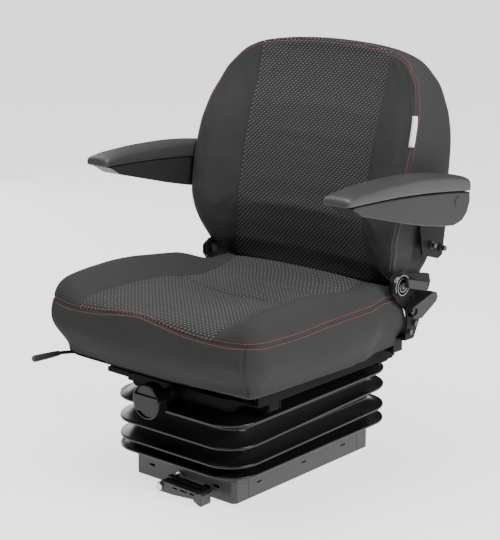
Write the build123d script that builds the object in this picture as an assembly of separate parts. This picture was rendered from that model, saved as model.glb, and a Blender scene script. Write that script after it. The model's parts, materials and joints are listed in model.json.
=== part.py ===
from build123d import *
import os
from math import sin, cos, radians, degrees, pi, atan2, hypot

# Tractor seat with a sprung scissor suspension. Millimetres, +Z up, the seat
# faces -Y and +X is the occupant's left hand. The origin is the centre of the
# floor bolt pattern, on the underside of the base tray.

# ---------------------------------------------------------------- dimensions
TRAY_W, TRAY_D, TRAY_H, TRAY_T = 255.0, 406.0, 50.0, 3.0
TRAY_CORNER = 7.0
BOLT_X, BOLT_Y, BOLT_R = 200.0, 290.0, 4.5          # floor bolt pattern

RISE = 150.0            # lower pivot to upper pivot, unladen
TRAVEL = 80.0           # suspension travel
ARM_L = 330.0           # scissor arm, pivot to roller
PIVOT_Y, PIVOT_Z = 150.0, 25.0
THETA = degrees(atan2(RISE, (ARM_L ** 2 - RISE ** 2) ** 0.5))
ARM_T, ARM_W = 6.0, 24.0
OUT_X, IN_X = 78.0, 68.0                             # inner faces of the arms
SHAFT_R, ROLLER_R = 6.0, 11.0
TRACK_GAP = 12.3                                     # half height inside a track
FIT = 0.05                                           # running clearance

PAN_HX, PAN_HY = 130.0, 218.0                        # suspension top housing
PAN_Z0, PLATE_Z0, PLATE_Z1 = 181.0, 203.0, 206.0
WING_X = 190.0

BELLOWS_HX, BELLOWS_HY, BELLOWS_R = 163.0, 241.6, 68.0
VALLEY_HX, VALLEY_HY, VALLEY_R = 133.0, 209.0, 34.0
RIB_Z = (63.3, 88.3, 127.3, 165.5)
BELLOWS_Z0, BELLOWS_Z1 = 44.0, 180.4
RUBBER = 3.0

KNOB_X, KNOB_Z, KNOB_R = -8.0, 192.0, 33.0
KNOB_Y0, KNOB_Y1 = -295.0, -266.0

RAIL_X, RAIL_HW = 170.0, 20.0                        # slide rail centre, half width
RAIL_Y0, RAIL_Y1 = -208.0, 199.0
RAIL_TOP = 236.0

CUSHION_HX, CUSHION_Y0, CUSHION_Y1 = 256.0, -304.0, 178.0
CUSHION_Z0 = 243.4

REC_Y, REC_Z = 117.0, 375.0                          # recline axis
BACK_TILT = 6.0                                      # tilt of the rear of the frame
BACK_Y, BACK_Z = 230.0, 343.0                        # foot of the back frame
BACK_HX = 262.0
BACK_FRONT = [(119, 386), (104, 440), (103, 480), (109, 520), (116, 560), (128, 600), (142, 640),
              (160, 680), (180, 720), (194, 755), (206, 785), (226, 805)]      # Y, Z at the side seam
BACK_REAR = [(256, 803), (272, 785), (278, 760), (281, 700), (281, 640), (277, 560), (264, 480),
             (246, 400), (238, 350), (232, 312)]
BACK_SIDE = [(206, 312), (212, 350), (217, 384), (222, 398), (240, 424), (251, 444), (260, 474), (262, 560), (260, 600), (256, 640),
             (247, 680), (231, 720), (211, 750), (180, 776), (146, 792), (90, 802), (40, 805)]  # X, Z

ARM_Y, ARM_Z = 207.0, 529.0                          # armrest pivot axis
REST_X0, REST_X1 = 266.4, 324.4

# ------------------------------------------------------------------- helpers
def bx(x0, x1, y0, y1, z0, z1):
    return Pos((x0 + x1) / 2, (y0 + y1) / 2, (z0 + z1) / 2) * Box(abs(x1 - x0), abs(y1 - y0), abs(z1 - z0))

def cx(r, x0, x1, y, z):
    return Pos((x0 + x1) / 2, y, z) * Rot(0, 90, 0) * Cylinder(r, abs(x1 - x0))

def cy(r, y0, y1, x, z):
    return Pos(x, (y0 + y1) / 2, z) * Rot(90, 0, 0) * Cylinder(r, abs(y1 - y0))

def cz(r, z0, z1, x, y):
    return Pos(x, y, (z0 + z1) / 2) * Cylinder(r, abs(z1 - z0))

def face(pts):
    return make_face(Polyline(*pts, close=True))

def yz(pts, x0, x1):
    # polygon in Y and Z, run along X
    return extrude(Plane.YZ.offset(x0) * face(pts), amount=x1 - x0)

def xz(pts, y0, y1):
    # polygon in X and Z, run along Y
    return extrude(Plane.XZ.offset(-y1) * face(pts), amount=y1 - y0)

def xy(pts, z0, z1):
    return extrude(Plane.XY.offset(z0) * face(pts), amount=z1 - z0)

def rrect(hx, hy, r, z):
    return Plane.XY.offset(z) * RectangleRounded(2 * hx, 2 * hy, r)

def mirror_x(s):
    return mirror(s, about=Plane.YZ)

def safe_fillet(s, edges, r):
    for k in (1.0, 0.7, 0.45, 0.25):
        try:
            t = fillet(edges, r * k)
            if t.is_valid and t.volume > 0:
                return t
        except Exception:
            pass
    return s

NODES = {}

def put(name, shape):
    NODES[name] = shape

# ------------------------------------------------------------------ the base
hx, hy, c = TRAY_W / 2, TRAY_D / 2, TRAY_CORNER

def cut_rect(hx, hy, c):
    return [(-hx + c, -hy), (hx - c, -hy), (hx, -hy + c), (hx, hy - c),
            (hx - c, hy), (-hx + c, hy), (-hx, hy - c), (-hx, -hy + c)]

tray = xy(cut_rect(hx, hy, c), 0, TRAY_H)
tray = safe_fillet(tray, tray.edges().filter_by(Axis.Z), 3.0)
tray = safe_fillet(tray, tray.faces().sort_by(Axis.Z)[0].edges(), 2.0)
tray -= xy(cut_rect(hx - TRAY_T, hy - TRAY_T, c - 1.2), TRAY_T, TRAY_H + 5)
for sx in (-1, 1):
    for sy in (-1, 1):
        tray -= cz(BOLT_R, -1, TRAY_T + 1, sx * BOLT_X / 2, sy * BOLT_Y / 2)
# keyhole slots near the top of the walls
for x in (-84, 81):
    tray -= bx(x - 6, x + 4, -hy - 1, -hy + TRAY_T + 1, 24, 28)
    tray -= cy(3.2, -hy - 1, -hy + TRAY_T + 1, x + 5, 26)
for y in (-133, -2, 120):
    tray -= bx(hx - TRAY_T - 1, hx + 1, y - 8, y + 6, 25, 28)
    tray -= bx(-hx - 1, -hx + TRAY_T + 1, y - 8, y + 6, 25, 28)
# lap joint of the wall sheets, a fine line near each corner
for sx in (-1, 1):
    for y in (-164, 164):
        xs = sorted((sx * (hx - 0.6), sx * (hx + 1)))
        tray -= bx(xs[0], xs[1], y - 0.35, y + 0.35, 4, TRAY_H + 1)
# window for the tongue of the lock lever
tray -= bx(51, 67, -hy - 1, -hy + TRAY_T + 1, 6, 23)
tray -= cy(4.2, -hy - 1, -hy + TRAY_T + 1, -9, 21)
tray -= cy(5.02, -hy - 1, -hy + TRAY_T + 1, -22, 12)
# ears for the lower pivot shaft, welded to the floor
for s in (-1, 1):
    x0, x1 = sorted((s * 88, s * 92))
    tray += bx(x0, x1, PIVOT_Y - 15, PIVOT_Y + 15, TRAY_T, PIVOT_Z + 13)
tray -= cx(SHAFT_R + 0.02, -100, 100, PIVOT_Y, PIVOT_Z)
# ears for the lower damper pin
DAMP_Y0, DAMP_Z0 = 85.0, 22.0
for s in (-1, 1):
    x0, x1 = sorted((s * 11.5, s * 15.5))
    tray += bx(x0, x1, DAMP_Y0 - 9, DAMP_Y0 + 9, TRAY_T, DAMP_Z0 + 9)
tray -= cx(5.02, -20, 20, DAMP_Y0, DAMP_Z0)
put("base_tray", tray)

put("lower_pivot_pins", Compound(children=[cx(SHAFT_R, -96, 96, PIVOT_Y, PIVOT_Z), cx(5.0, -18, 18, DAMP_Y0, DAMP_Z0)]))

def track(zc, foot_z, s):
    # C channel, open towards the arms, with a web that reaches its mounting
    top, bot = zc + TRACK_GAP, zc - TRACK_GAP
    y0, y1 = -192, -112
    t = bx(86, 103, y0, y1, top, top + 2.5) + bx(86, 103, y0, y1, bot - 2.5, bot)
    lo, hi = sorted((foot_z, zc))
    t += bx(100.5, 103, y0, y1, min(lo, bot - 2.5), max(hi, top + 2.5))
    return t if s > 0 else mirror_x(t)

put("lower_tracks", Compound(children=[track(PIVOT_Z, TRAY_T, s) for s in (1, -1)]))

stops = Compound(children=[cz(8, PIVOT_Z + TRACK_GAP + 2.5, 79.4, s * 94.5, -126) for s in (-1, 1)])
put("bump_stops", stops)

# flange bolt and nut in the middle of the front wall
fb = cy(4.0, -hy - 1, -hy + 16, -9, 21)
fb += cy(10.0, -hy - 2.5, -hy, -9, 21)
fb += Pos(-9, -hy - 2.5, 21) * Rot(90, 0, 0) * extrude(RegularPolygon(7.2, 6), amount=6.0)
nut = (cy(9.0, -hy + TRAY_T, -hy + TRAY_T + 1.5, -9, 21)
    + Pos(-9, -hy + TRAY_T + 7.5, 21) * Rot(90, 0, 0) * extrude(RegularPolygon(7.2, 6), amount=6.0)
    - cy(4.02, -hy, -hy + 20, -9, 21))
put("front_bolt_and_nut", Compound(children=[fb, nut]))

# pin for the lock lever
pin = cy(5.0, -244.2, -hy + 10, -22, 12) + cy(7.5, -249, -244.2, -22, 12)
pin = safe_fillet(pin, pin.faces().sort_by(Axis.Y)[0].edges(), 1.5)
put("lock_lever_pin", pin)

# ----------------------------------------------------------- the lock lever
lev = xz([(-27, 1), (10, 1.5), (66, 7), (78, 8), (78, 20), (-14, 22.5), (-27, 18)], -243.8, -236)
lev += xz([(-14, 20.5), (76, 18), (76, 20), (-14, 22.5)], -243.8, -214)
lev += xz([(-20, 25.4), (80, 22.6), (80, 24.2), (-20, 27)], -226, -214)
lev += xz([(70, 18), (74, 18), (74, 23.5), (70, 23.5)], -226, -214)
lev += xz([(-16, 20.5), (-12, 20.5), (-12, 26), (-16, 26)], -226, -214)
for x0, x1 in ((10, 22), (28, 46), (52, 68)):
    lev -= bx(x0, x1, -245, -240.5, 14.2, 17.6)
lev += cy(8.5, -236, -213, -22, 12)
# finger grip at the outer end
grip = xz([(68, 8), (80, 2.5), (88, 0.8), (91, 4), (91, 23), (86, 25.5), (72, 21)], -251, -228)
grip = safe_fillet(grip, grip.edges().filter_by(Axis.Y), 2.0)
lev += grip
# tongue that reaches through the window
lev += bx(54, 64, -236, -188, 7.5, 11.5)
lev -= cy(5.0 + FIT, -260, -190, -22, 12)
put("lock_lever", lev)

# ------------------------------------------------------------- scissor arms
ta = radians(THETA)
rear_lo = (PIVOT_Y, PIVOT_Z)
rear_hi = (PIVOT_Y, PIVOT_Z + RISE)
front_hi = (PIVOT_Y - ARM_L * cos(ta), PIVOT_Z + RISE)
front_lo = (PIVOT_Y - ARM_L * cos(ta), PIVOT_Z)
mid = ((rear_lo[0] + front_hi[0]) / 2, (rear_lo[1] + front_hi[1]) / 2)

def arm(p, q, x0, x1, r_p, r_q, bores):
    dy, dz = q[0] - p[0], q[1] - p[1]
    L = hypot(dy, dz)
    u = (dy / L, dz / L)
    n = (-u[1], u[0])
    def at(s, w):
        return (p[0] + u[0] * s + n[0] * w, p[1] + u[1] * s + n[1] * w)
    w0, w1 = r_p * 0.96, r_q * 0.96
    wm = 15.0
    body = yz([at(0, w0), at(L * 0.44, wm), at(L * 0.56, wm), at(L, w1),
               at(L, -w1), at(L * 0.56, -wm), at(L * 0.44, -wm), at(0, -w0)], x0, x1)
    body += cx(r_p, x0, x1, *p) + cx(r_q, x0, x1, *q)
    for (pt, r) in bores:
        body -= cx(r, x0 - 1, x1 + 1, *pt)
    return body

TUBE_AT = 46.0
out_tube = (rear_lo[0] - TUBE_AT * cos(ta), rear_lo[1] + TUBE_AT * sin(ta))
in_tube = (rear_hi[0] - TUBE_AT * cos(ta), rear_hi[1] - TUBE_AT * sin(ta))
a_out = arm(rear_lo, front_hi, OUT_X, OUT_X + ARM_T, 12, 10,
            [(rear_lo, SHAFT_R + FIT), (front_hi, SHAFT_R + FIT), (mid, 7.02)])
a_in = arm(rear_hi, front_lo, IN_X, IN_X + ARM_T, 12, 10,
           [(rear_hi, SHAFT_R + FIT), (front_lo, SHAFT_R + FIT), (mid, 8.6)])

def tube(r, x, p):
    return cx(r, -x, x, *p) - cx(r - 2.0, -x - 1, x + 1, *p)

# each pair of arms is welded to its cross tube
put("outer_scissor_frame", a_out + mirror_x(a_out) + tube(8.5, OUT_X + 0.5, out_tube))
put("inner_scissor_frame", a_in + mirror_x(a_in) + tube(8.5, IN_X + 0.5, in_tube))
pins = []
for s in (-1, 1):
    xs = sorted((s * 63.5, s * 86.5))
    p = cx(7.0, xs[0], xs[1], *mid)
    h = sorted((s * 63.5, s * 67.2))
    p += cx(11.0, h[0], h[1], *mid)
    h = sorted((s * 84.0, s * 87.0))
    p += cx(10.0, h[0], h[1], *mid)
    pins.append(p)
put("centre_pins", Compound(children=pins))

def rollers(p):
    out = []
    for s in (-1, 1):
        xs = sorted((s * 87.0, s * 98.5))
        r = cx(ROLLER_R, xs[0], xs[1], *p)
        r = safe_fillet(r, r.edges(), 1.2)
        out.append(r - cx(SHAFT_R + 0.02, -100, 100, *p))
    return Compound(children=out)

put("upper_roller_shaft", cx(SHAFT_R, -99.5, 99.5, *front_hi))
put("upper_rollers", rollers(front_hi))
put("lower_roller_shaft", cx(SHAFT_R, -99.5, 99.5, *front_lo))
put("lower_rollers", rollers(front_lo))

# ------------------------------------------------------------------- damper
DAMP_Y1, DAMP_Z1 = -115.0, 165.0
dy, dz = DAMP_Y1 - DAMP_Y0, DAMP_Z1 - DAMP_Z0
DAMP_L = hypot(dy, dz)
DAMP_A = degrees(atan2(dz, -dy))
# local axis along +X turned to the damper's line
damp_loc = Location(Plane(origin=(0, DAMP_Y0, DAMP_Z0), x_dir=(1, 0, 0), z_dir=(0, dy / DAMP_L, dz / DAMP_L)))
tube_s = Pos(0, 0, 78) * Cylinder(12.5, 124) + Pos(0, 0, 13) * Cylinder(8, 12)
tube_s -= Pos(0, 0, 92) * Cylinder(8.2, 98)
tube_s = damp_loc * tube_s
tube_s += cx(9.5, -10.5, 10.5, DAMP_Y0, DAMP_Z0)
tube_s -= cx(5.0 + FIT, -12, 12, DAMP_Y0, DAMP_Z0)
put("damper_tube", tube_s)
rod_s = damp_loc * (Pos(0, 0, (DAMP_L + 108) / 2) * Cylinder(5.0, DAMP_L - 108))
rod_s += cx(9.5, -10.5, 10.5, DAMP_Y1, DAMP_Z1)
rod_s += damp_loc * (Pos(0, 0, DAMP_L - 18) * Cylinder(9.0, 12))
rod_s -= cx(5.0 + FIT, -12, 12, DAMP_Y1, DAMP_Z1)
put("damper_rod", rod_s)

# ------------------------------------------------------------------ springs
SPR_X, SPR_Y, SPR_R, WIRE = 38.0, 18.0, 20.0, 3.0
SPR_Z0, SPR_Z1 = 7.0, 163.0

def coil(x):
    h = SPR_Z1 - SPR_Z0 - 2 * WIRE - 0.6
    path = Helix(pitch=h / 6.5, height=h, radius=SPR_R)
    prof = Plane(origin=path @ 0, z_dir=path % 0) * Circle(WIRE)
    return Pos(x, SPR_Y, SPR_Z0 + WIRE + 0.3) * sweep(prof, path=path, is_frenet=True)

put("springs", Compound(children=[coil(SPR_X), coil(-SPR_X)]))
cups = []
for s in (-1, 1):
    c1 = cz(25, TRAY_T, SPR_Z0, s * SPR_X, SPR_Y) + cz(15, SPR_Z0, SPR_Z0 + 9, s * SPR_X, SPR_Y)
    cups.append(c1)
put("spring_cups", Compound(children=cups))

# ------------------------------------------------------- suspension top frame
frame = xy(cut_rect(PAN_HX, PAN_HY, 12), PAN_Z0, PLATE_Z0 + 0.5)
frame = safe_fillet(frame, frame.edges().filter_by(Axis.Z), 6.0)
try:
    frame = chamfer(frame.faces().sort_by(Axis.Z)[0].edges(), 9.0, 5.0)
except Exception:
    frame = chamfer(frame.faces().sort_by(Axis.Z)[0].edges(), 5.0)
frame -= xy(cut_rect(PAN_HX - 8.5, PAN_HY - 12.5, 12), PAN_Z0 - 1, PAN_Z0 + 10)
frame -= xy(cut_rect(PAN_HX - 3, PAN_HY - 3, 11), PAN_Z0 + 9.5, PLATE_Z0)
plate = xy(cut_rect(PAN_HX, PAN_HY, 12), PLATE_Z0, PLATE_Z1)
wings = xy([(-WING_X, -210), (WING_X, -210), (WING_X, 199), (-WING_X, 199)], PLATE_Z0, PLATE_Z1)
wings = safe_fillet(wings, wings.edges().filter_by(Axis.Z), 8.0)
frame += plate
frame += wings
# turned-down lip under the right front wing
frame += xz([(-189, 194), (-124, 193), (-118, 203.5), (-189, 203.5)], -213, -209.9)
frame += bx(-189, -124, -213, -208, 201, PLATE_Z0)
frame += bx(-130, -119, -217, -205, 190, 203.5)
# round boss that carries the adjuster spindle
frame += cy(13.0, -256, -214, KNOB_X, KNOB_Z)
for s in (-1, 1):
    x0, x1 = sorted((s * 88, s * 92))
    frame += bx(x0, x1, PIVOT_Y - 15, PIVOT_Y + 15, PIVOT_Z + RISE - 13, PLATE_Z0)
frame -= cx(SHAFT_R + 0.02, -100, 100, PIVOT_Y, PIVOT_Z + RISE)
# yoke for the upper damper pin; it hangs beside the spindle
for s in (-1, 1):
    x0, x1 = sorted((s * 11.5, s * 15.5))
    frame += bx(x0, x1, DAMP_Y1 - 9, DAMP_Y1 + 9, DAMP_Z1 - 9, DAMP_Z1 + 16)
frame += bx(-15.5, 28, DAMP_Y1 - 9, DAMP_Y1 + 9, DAMP_Z1 + 11.5, DAMP_Z1 + 16)
frame += bx(11.5, 28, DAMP_Y1 - 9, DAMP_Y1 + 9, DAMP_Z1 + 11.5, PLATE_Z0)
frame -= cx(5.02, -20, 20, DAMP_Y1, DAMP_Z1)
frame -= cy(6.0 + FIT, -260, -200, KNOB_X, KNOB_Z)
# locating screw on the boss, one piece with it
frame += cz(3.0, 203, 211, 4, -236) + cz(5.0, 209, 212.5, 4, -236)
frame += cz(7.0, 196, 205, 4, -236)
frame -= cy(6.0 + FIT, -260, -215, KNOB_X, KNOB_Z)
put("top_frame", frame)

put("upper_pivot_pins", Compound(children=[cx(SHAFT_R, -96, 96, PIVOT_Y, PIVOT_Z + RISE), cx(5.0, -18, 18, DAMP_Y1, DAMP_Z1)]))
put("upper_tracks", Compound(children=[track(PIVOT_Z + RISE, PLATE_Z0, s) for s in (1, -1)]))

# adjuster: knob, spindle, wedge nut and spring bridge
knob = cy(KNOB_R, KNOB_Y0 + 1.5, KNOB_Y1, KNOB_X, KNOB_Z)
knob = safe_fillet(knob, knob.faces().sort_by(Axis.Y)[0].edges(), 2.5)
knob = safe_fillet(knob, knob.faces().sort_by(Axis.Y)[-1].edges(), 4.0)
# the grip bar between two sunk flats, with thumb notches in the rim
fl_t = bx(KNOB_X - 40, KNOB_X + 40, KNOB_Y0, KNOB_Y0 + 5.5, KNOB_Z + 11, KNOB_Z + 40)
fl_b = bx(KNOB_X - 40, KNOB_X + 40, KNOB_Y0, KNOB_Y0 + 5.5, KNOB_Z - 40, KNOB_Z - 19)
knob -= fl_t & cy(KNOB_R - 2.2, KNOB_Y0, KNOB_Y0 + 5.5, KNOB_X, KNOB_Z)
knob -= fl_b & cy(KNOB_R - 2.2, KNOB_Y0, KNOB_Y0 + 5.5, KNOB_X, KNOB_Z)
knob += cy(11.0, KNOB_Y1 - 1, KNOB_Y1 + 7, KNOB_X, KNOB_Z)
knob -= cy(6.02, KNOB_Y0 + 12, KNOB_Y1 + 8, KNOB_X, KNOB_Z)
put("weight_knob", knob)
put("adjuster_spindle", cy(6.0, KNOB_Y0 + 12, 98, KNOB_X, KNOB_Z))

WEDGE_Y0, WEDGE_Y1, SLOPE = -20.0, 50.0, 0.2
def ramp(y):
    return 170.0 + (y - WEDGE_Y0) * SLOPE
wedge = yz([(WEDGE_Y0, ramp(WEDGE_Y0)), (WEDGE_Y1, ramp(WEDGE_Y1)), (WEDGE_Y1, 202.4), (WEDGE_Y0, 202.4)], KNOB_X - 26, KNOB_X + 26)
wedge -= cy(6.0 + FIT, WEDGE_Y0 - 1, WEDGE_Y1 + 1, KNOB_X, KNOB_Z)
put("wedge_nut", wedge)
GAPW = 0.4
bridge = yz([(-12, SPR_Z1), (50, SPR_Z1), (50, ramp(50) - GAPW), (-12, ramp(-12) - GAPW)], -64, 64)
bridge -= bx(-70, KNOB_X - 27, -20, 60, 171, 210)
bridge -= bx(KNOB_X + 27, 70, -20, 60, 171, 210)
for s in (-1, 1):
    bridge += cz(15, SPR_Z1 - 9, SPR_Z1, s * SPR_X, SPR_Y)
bridge = bridge - cy(8.5, -20, 60, KNOB_X, KNOB_Z)
put("spring_bridge", bridge)

# ------------------------------------------------------------------ bellows
def stack(inset, secs):
    out = None
    for (z0, a0), (z1, a1) in zip(secs, secs[1:]):
        s0 = rrect(a0[0] - inset, a0[1] - inset, a0[2] - inset * 0.9, z0)
        s1 = rrect(a1[0] - inset, a1[1] - inset, a1[2] - inset * 0.9, z1)
        l = loft([s0, s1], ruled=True)
        out = l if out is None else out + l
    return out

RIB = (BELLOWS_HX, BELLOWS_HY, BELLOWS_R)
VAL = (VALLEY_HX, VALLEY_HY, VALLEY_R)
LIP = (TRAY_W / 2 + 3.2, TRAY_D / 2 + 3.2, 9.0)
TOP = (121.5, 209.5, 20.0)
secs = [(BELLOWS_Z0, LIP), (52.0, LIP), (RIB_Z[0] - 2, RIB), (RIB_Z[0] + 2, RIB), (75.5, VAL),
        (RIB_Z[1] - 2, RIB), (RIB_Z[1] + 2, RIB), (108.0, VAL),
        (RIB_Z[2] - 2, RIB), (RIB_Z[2] + 2, RIB), (146.5, VAL),
        (RIB_Z[3] - 2, RIB), (RIB_Z[3] + 2, RIB), (BELLOWS_Z1, TOP)]
outer = stack(0.0, secs)
inner = stack(RUBBER, secs)
core = extrude(rrect(TOP[0] - RUBBER, VALLEY_HY - RUBBER, 17, BELLOWS_Z0 - 5), amount=BELLOWS_Z1 - BELLOWS_Z0 + 10)
bell = outer - inner - core
# the lip grips the outside of the tray
bell -= xy(cut_rect(TRAY_W / 2 + 0.02, TRAY_D / 2 + 0.02, TRAY_CORNER), BELLOWS_Z0 - 1, TRAY_H + 0.02)
put("bellows", bell)

# -------------------------------------------------------------- slide rails
def lower_rail(s):
    x0, x1 = RAIL_X - RAIL_HW, RAIL_X + RAIL_HW
    z0, z1, t = PLATE_Z1, 224.0, 2.5
    pts = [(x0, z0), (x1, z0), (x1, z1), (x1 - 8, z1), (x1 - 8, z1 - t), (x1 - t, z1 - t),
           (x1 - t, z0 + t), (x0 + t, z0 + t), (x0 + t, z1 - t), (x0 + 8, z1 - t), (x0 + 8, z1), (x0, z1)]
    r = xz(pts, RAIL_Y0, RAIL_Y1)
    return r if s > 0 else mirror_x(r)

def upper_rail(s):
    c, t = RAIL_X, 2.5
    zt = RAIL_TOP
    pts = [(c - 10, zt), (c + 10, zt), (c + 10, 213), (c + 15, 213), (c + 15, 210.5), (c + 7.5, 210.5),
           (c + 7.5, zt - t), (c - 7.5, zt - t), (c - 7.5, 210.5), (c - 15, 210.5), (c - 15, 213), (c - 10, 213)]
    r = xz(pts, RAIL_Y0 + 2, RAIL_Y1 - 3)
    return r if s > 0 else mirror_x(r)

for s, n in ((1, "left"), (-1, "right")):
    put("lower_rail_" + n, lower_rail(s))
# end stops, clip and small bolts under the rails
stp = []
for s in (-1, 1):
    stp.append(cy(5.0, 186, 214, s * 158, 192) + cy(8.0, 199, 212, s * 158, 192)
               + bx(s * 158 - 7, s * 158 + 7, 183, 187, 183, PLATE_Z0))
put("rail_end_bolts", Compound(children=stp))
clip = xz([(181, 203), (188, 203), (188, 189), (184, 185), (180, 188), (183, 191), (183, 200), (181, 200)], -176, -150)
clip += bx(172, 188, -148, -145, 187, 203)
clip += bx(181, 188, -176, -145, 201, 203)
put("bellows_clip", clip)

upr_l = upper_rail(1)
upr_r = upper_rail(-1)
upr_r -= cz(3.02, 209, 240, -RAIL_X, -180)
put("upper_rail_left", upr_l)
put("upper_rail_right", upr_r)

# ------------------------------------------------- fore and aft release lever
pz = 227.0
put("slide_lever_pin", cz(3.0, 213.5, RAIL_TOP, -RAIL_X, -180))
pts = [(-RAIL_X, -168, pz), (-RAIL_X, -214, pz), (-224, -268, 238.0), (-233, -292, 240.0), (-241.5, -348, 240.0)]
path = FilletPolyline(*pts, radius=[14, 14, 14])
rod = sweep(Plane(origin=path @ 0, z_dir=path % 0) * Circle(3.4), path=path)
rod += cz(6.2, pz - 6, pz + 6, -RAIL_X, -180)
rod -= cz(3.0 + FIT, pz - 8, pz + 8, -RAIL_X, -180)
put("slide_lever_rod", rod)
g0 = Vector(-234.0, -296, 240.0)
g1 = Vector(-242.3, -354, 240.0)
gdir = (g1 - g0).normalized()
gl = Plane(origin=g0, x_dir=(0, 0, 1), z_dir=gdir)
grip_len = (g1 - g0).length
gp = [(0, 0), (4.6, 0), (5.0, 2), (5.8, 16), (6.4, 34), (6.6, grip_len - 3), (5.0, grip_len), (0, grip_len)]
gs = revolve(Plane.XZ * face(gp), axis=Axis.Z)
grip = gl.location * gs
grip -= rod
put("slide_lever_grip", grip)

# ----------------------------------------------------------------- seat pan
PZ = RAIL_TOP + 0.3
span = xy([(-205, -264), (205, -264), (205, 176), (-205, 176)], PZ, PZ + 2.5)
span = safe_fillet(span, span.edges().filter_by(Axis.Z), 55)
for x in (-120, -40, 40, 120):
    span += bx(x - 10, x + 10, -230, 140, PZ + 2.4, PZ + 6.2)
put("seat_pan", span)

CUSHION_SIDE = [(-302, 252), (-304, 300), (-304, 348), (-300, 366), (-288, 382), (-262, 391), (-200, 395), (-150, 394), (-100, 391),
                (-50, 385), (0, 379), (50, 374), (90, 371), (116, 370), (127, 366), (138, 354), (147, 343), (165, 322), (CUSHION_Y1, 298), (CUSHION_Y1, CUSHION_Z0), (-270, CUSHION_Z0)]   # Y, Z
cus = xy([(-CUSHION_HX, -312), (CUSHION_HX, -312), (CUSHION_HX, 30), (244, 82), (244, CUSHION_Y1), (-211, CUSHION_Y1), (-211, 88), (-240, 62), (-CUSHION_HX, 24)], CUSHION_Z0 - 1, 400)
cus = safe_fillet(cus, [e for e in cus.edges().filter_by(Axis.Z) if e.center().Y < -300], 42)
cus = safe_fillet(cus, [e for e in cus.edges().filter_by(Axis.Z) if e.center().Y > 170], 20)
cus = cus & yz(CUSHION_SIDE, -300, 300)
half = [(248, CUSHION_Z0 - 2), (256, 262), (256, 348), (250, 370), (236, 387), (212, 396)]
cus = cus & xz(half + [(-x, z) for x, z in half[::-1]], -320, 200)
# hollow between the side bolsters: falls a little to the rear, then rises towards the back
dish_f = Pos(0, -60, 352 + 473.5) * Rot(-2.6, 0, 0) * Rot(90, 0, 0) * Cylinder(473.5, 700)
dish_r = Pos(0, -10, 349.7 + 473.5 / cos(radians(7.6))) * Rot(7.6, 0, 0) * Rot(90, 0, 0) * Cylinder(473.5, 900)
cus -= dish_f & bx(-300, 300, -330, -10, 300, 420)
cus -= dish_r & bx(-300, 300, -10, 200, 300, 420)
# pockets for the feet of the side plates
cus -= bx(224, 262, 139.6, 168.4, 230, 266.4)
# room for the heads of the recliner pins
cus -= cx(9.0, 241.5, 262, REC_Y, REC_Z)
cus -= cx(9.0, -262, -208.5, REC_Y, REC_Z)
put("seat_cushion", cus)

# recliner side plates on the seat; the right one sits further in, under the corner of the back
PLATE_IN = 32.0
def hinge_plate(left):
    if left:
        x0 = 252.5
        p = yz([(140, 262), (168, 262), (188, 300), (206, 347), (150, 392), (130, 401), (106, 401), (93, 385), (93, 366), (112, 344), (140, 322), (146, 300)], x0, x0 + 4)
    else:
        x0 = 252.5 - PLATE_IN
        p = yz([(140, 262), (168, 262), (188, 300), (206, 347), (150, 383), (132, 390), (106, 390), (96, 383), (96, 366), (112, 344), (140, 322), (146, 300)], x0, x0 + 4)
    p = safe_fillet(p, p.edges().filter_by(Axis.X), 4)
    # lower leg, stepped in under the cushion and turned onto the pan
    if left:
        p += yz([(140, 232), (168, 232), (168, 266), (140, 266)], 226, 230)
        p += bx(226, 256.5, 140, 168, 262, 266)
        p += bx(196, 230, 140, 168, 232, 236)
        p -= cx(4.02, 250, 260, 143, 322)
    else:
        p += yz([(140, 232), (168, 232), (168, 266), (140, 266)], x0, x0 + 4)
        p += bx(196, x0 + 4, 140, 168, 232, 236)
    p -= cx(7.02, x0 - 2, x0 + 8, REC_Y, REC_Z)
    for y, z in ((155, 345), (172, 350), (160, 330)):
        p -= cx(2.6, x0 - 2, x0 + 8, y, z)
    return p if left else mirror_x(p)

put("hinge_plate_left", hinge_plate(True))
put("hinge_plate_right", hinge_plate(False))
rp = [cx(7.0, 245.0, 266.6, REC_Y, REC_Z) + cx(8.4, 242.5, 245.8, REC_Y, REC_Z),
      cx(7.0, -227.0, -213.0, REC_Y, REC_Z) + cx(8.4, -213.8, -210.5, REC_Y, REC_Z)]
rp.append(cx(4.0, 252.5, 270, 143, 322) + cx(6.5, 270, 272.5, 143, 322))
put("recliner_pins", Compound(children=rp))
hb = []
for y, z in ((168, 291), (153, 277)):
    hb.append(cx(5.5, 256.5, 261.5, y, z))
    hb.append(cx(5.5, -229.5, -224.5, y, z))
put("hinge_bolts", Compound(children=hb))

# spiral return spring round the left recliner pin
n, turns, r0, r1 = 46, 2.15, 9.2, 22.8
inn, out = [], []
for i in range(n + 1):
    f = i / n
    a = radians(150) + f * turns * 2 * pi
    r = r0 + (r1 - r0) * f
    inn.append((REC_Y + (r - 1.1) * cos(a), REC_Z + (r - 1.1) * sin(a)))
    out.append((REC_Y + (r + 1.1) * cos(a), REC_Z + (r + 1.1) * sin(a)))
put("recliner_spring", yz(out + inn[::-1], 257.2, 265.0))
cov = yz([(120, 390), (186, 372), (185, 353.5), (124, 371)], 267.4, 274)
cov = safe_fillet(cov, cov.edges().filter_by(Axis.X), 2.5)
cov = safe_fillet(cov, cov.faces().sort_by(Axis.X)[-1].edges(), 1.5)
cov += bx(256.5, 267.6, 150, 176, 362, 371)
put("recliner_cover", cov)
rl = yz([(134, 331), (139, 309), (165, 305), (212, 329), (217, 338), (212, 347), (203, 349)], 259.5, 276)
rl = safe_fillet(rl, rl.edges().filter_by(Axis.X), 4)
rl -= yz([(120, 325), (139, 312), (164, 308.5), (196, 324), (192, 338), (140, 326)], 262.2, 273.4)
rl += cx(8, 256.9, 262.3, 143, 322)
rl -= cx(4.0 + FIT, 250, 274, 143, 322)
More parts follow.
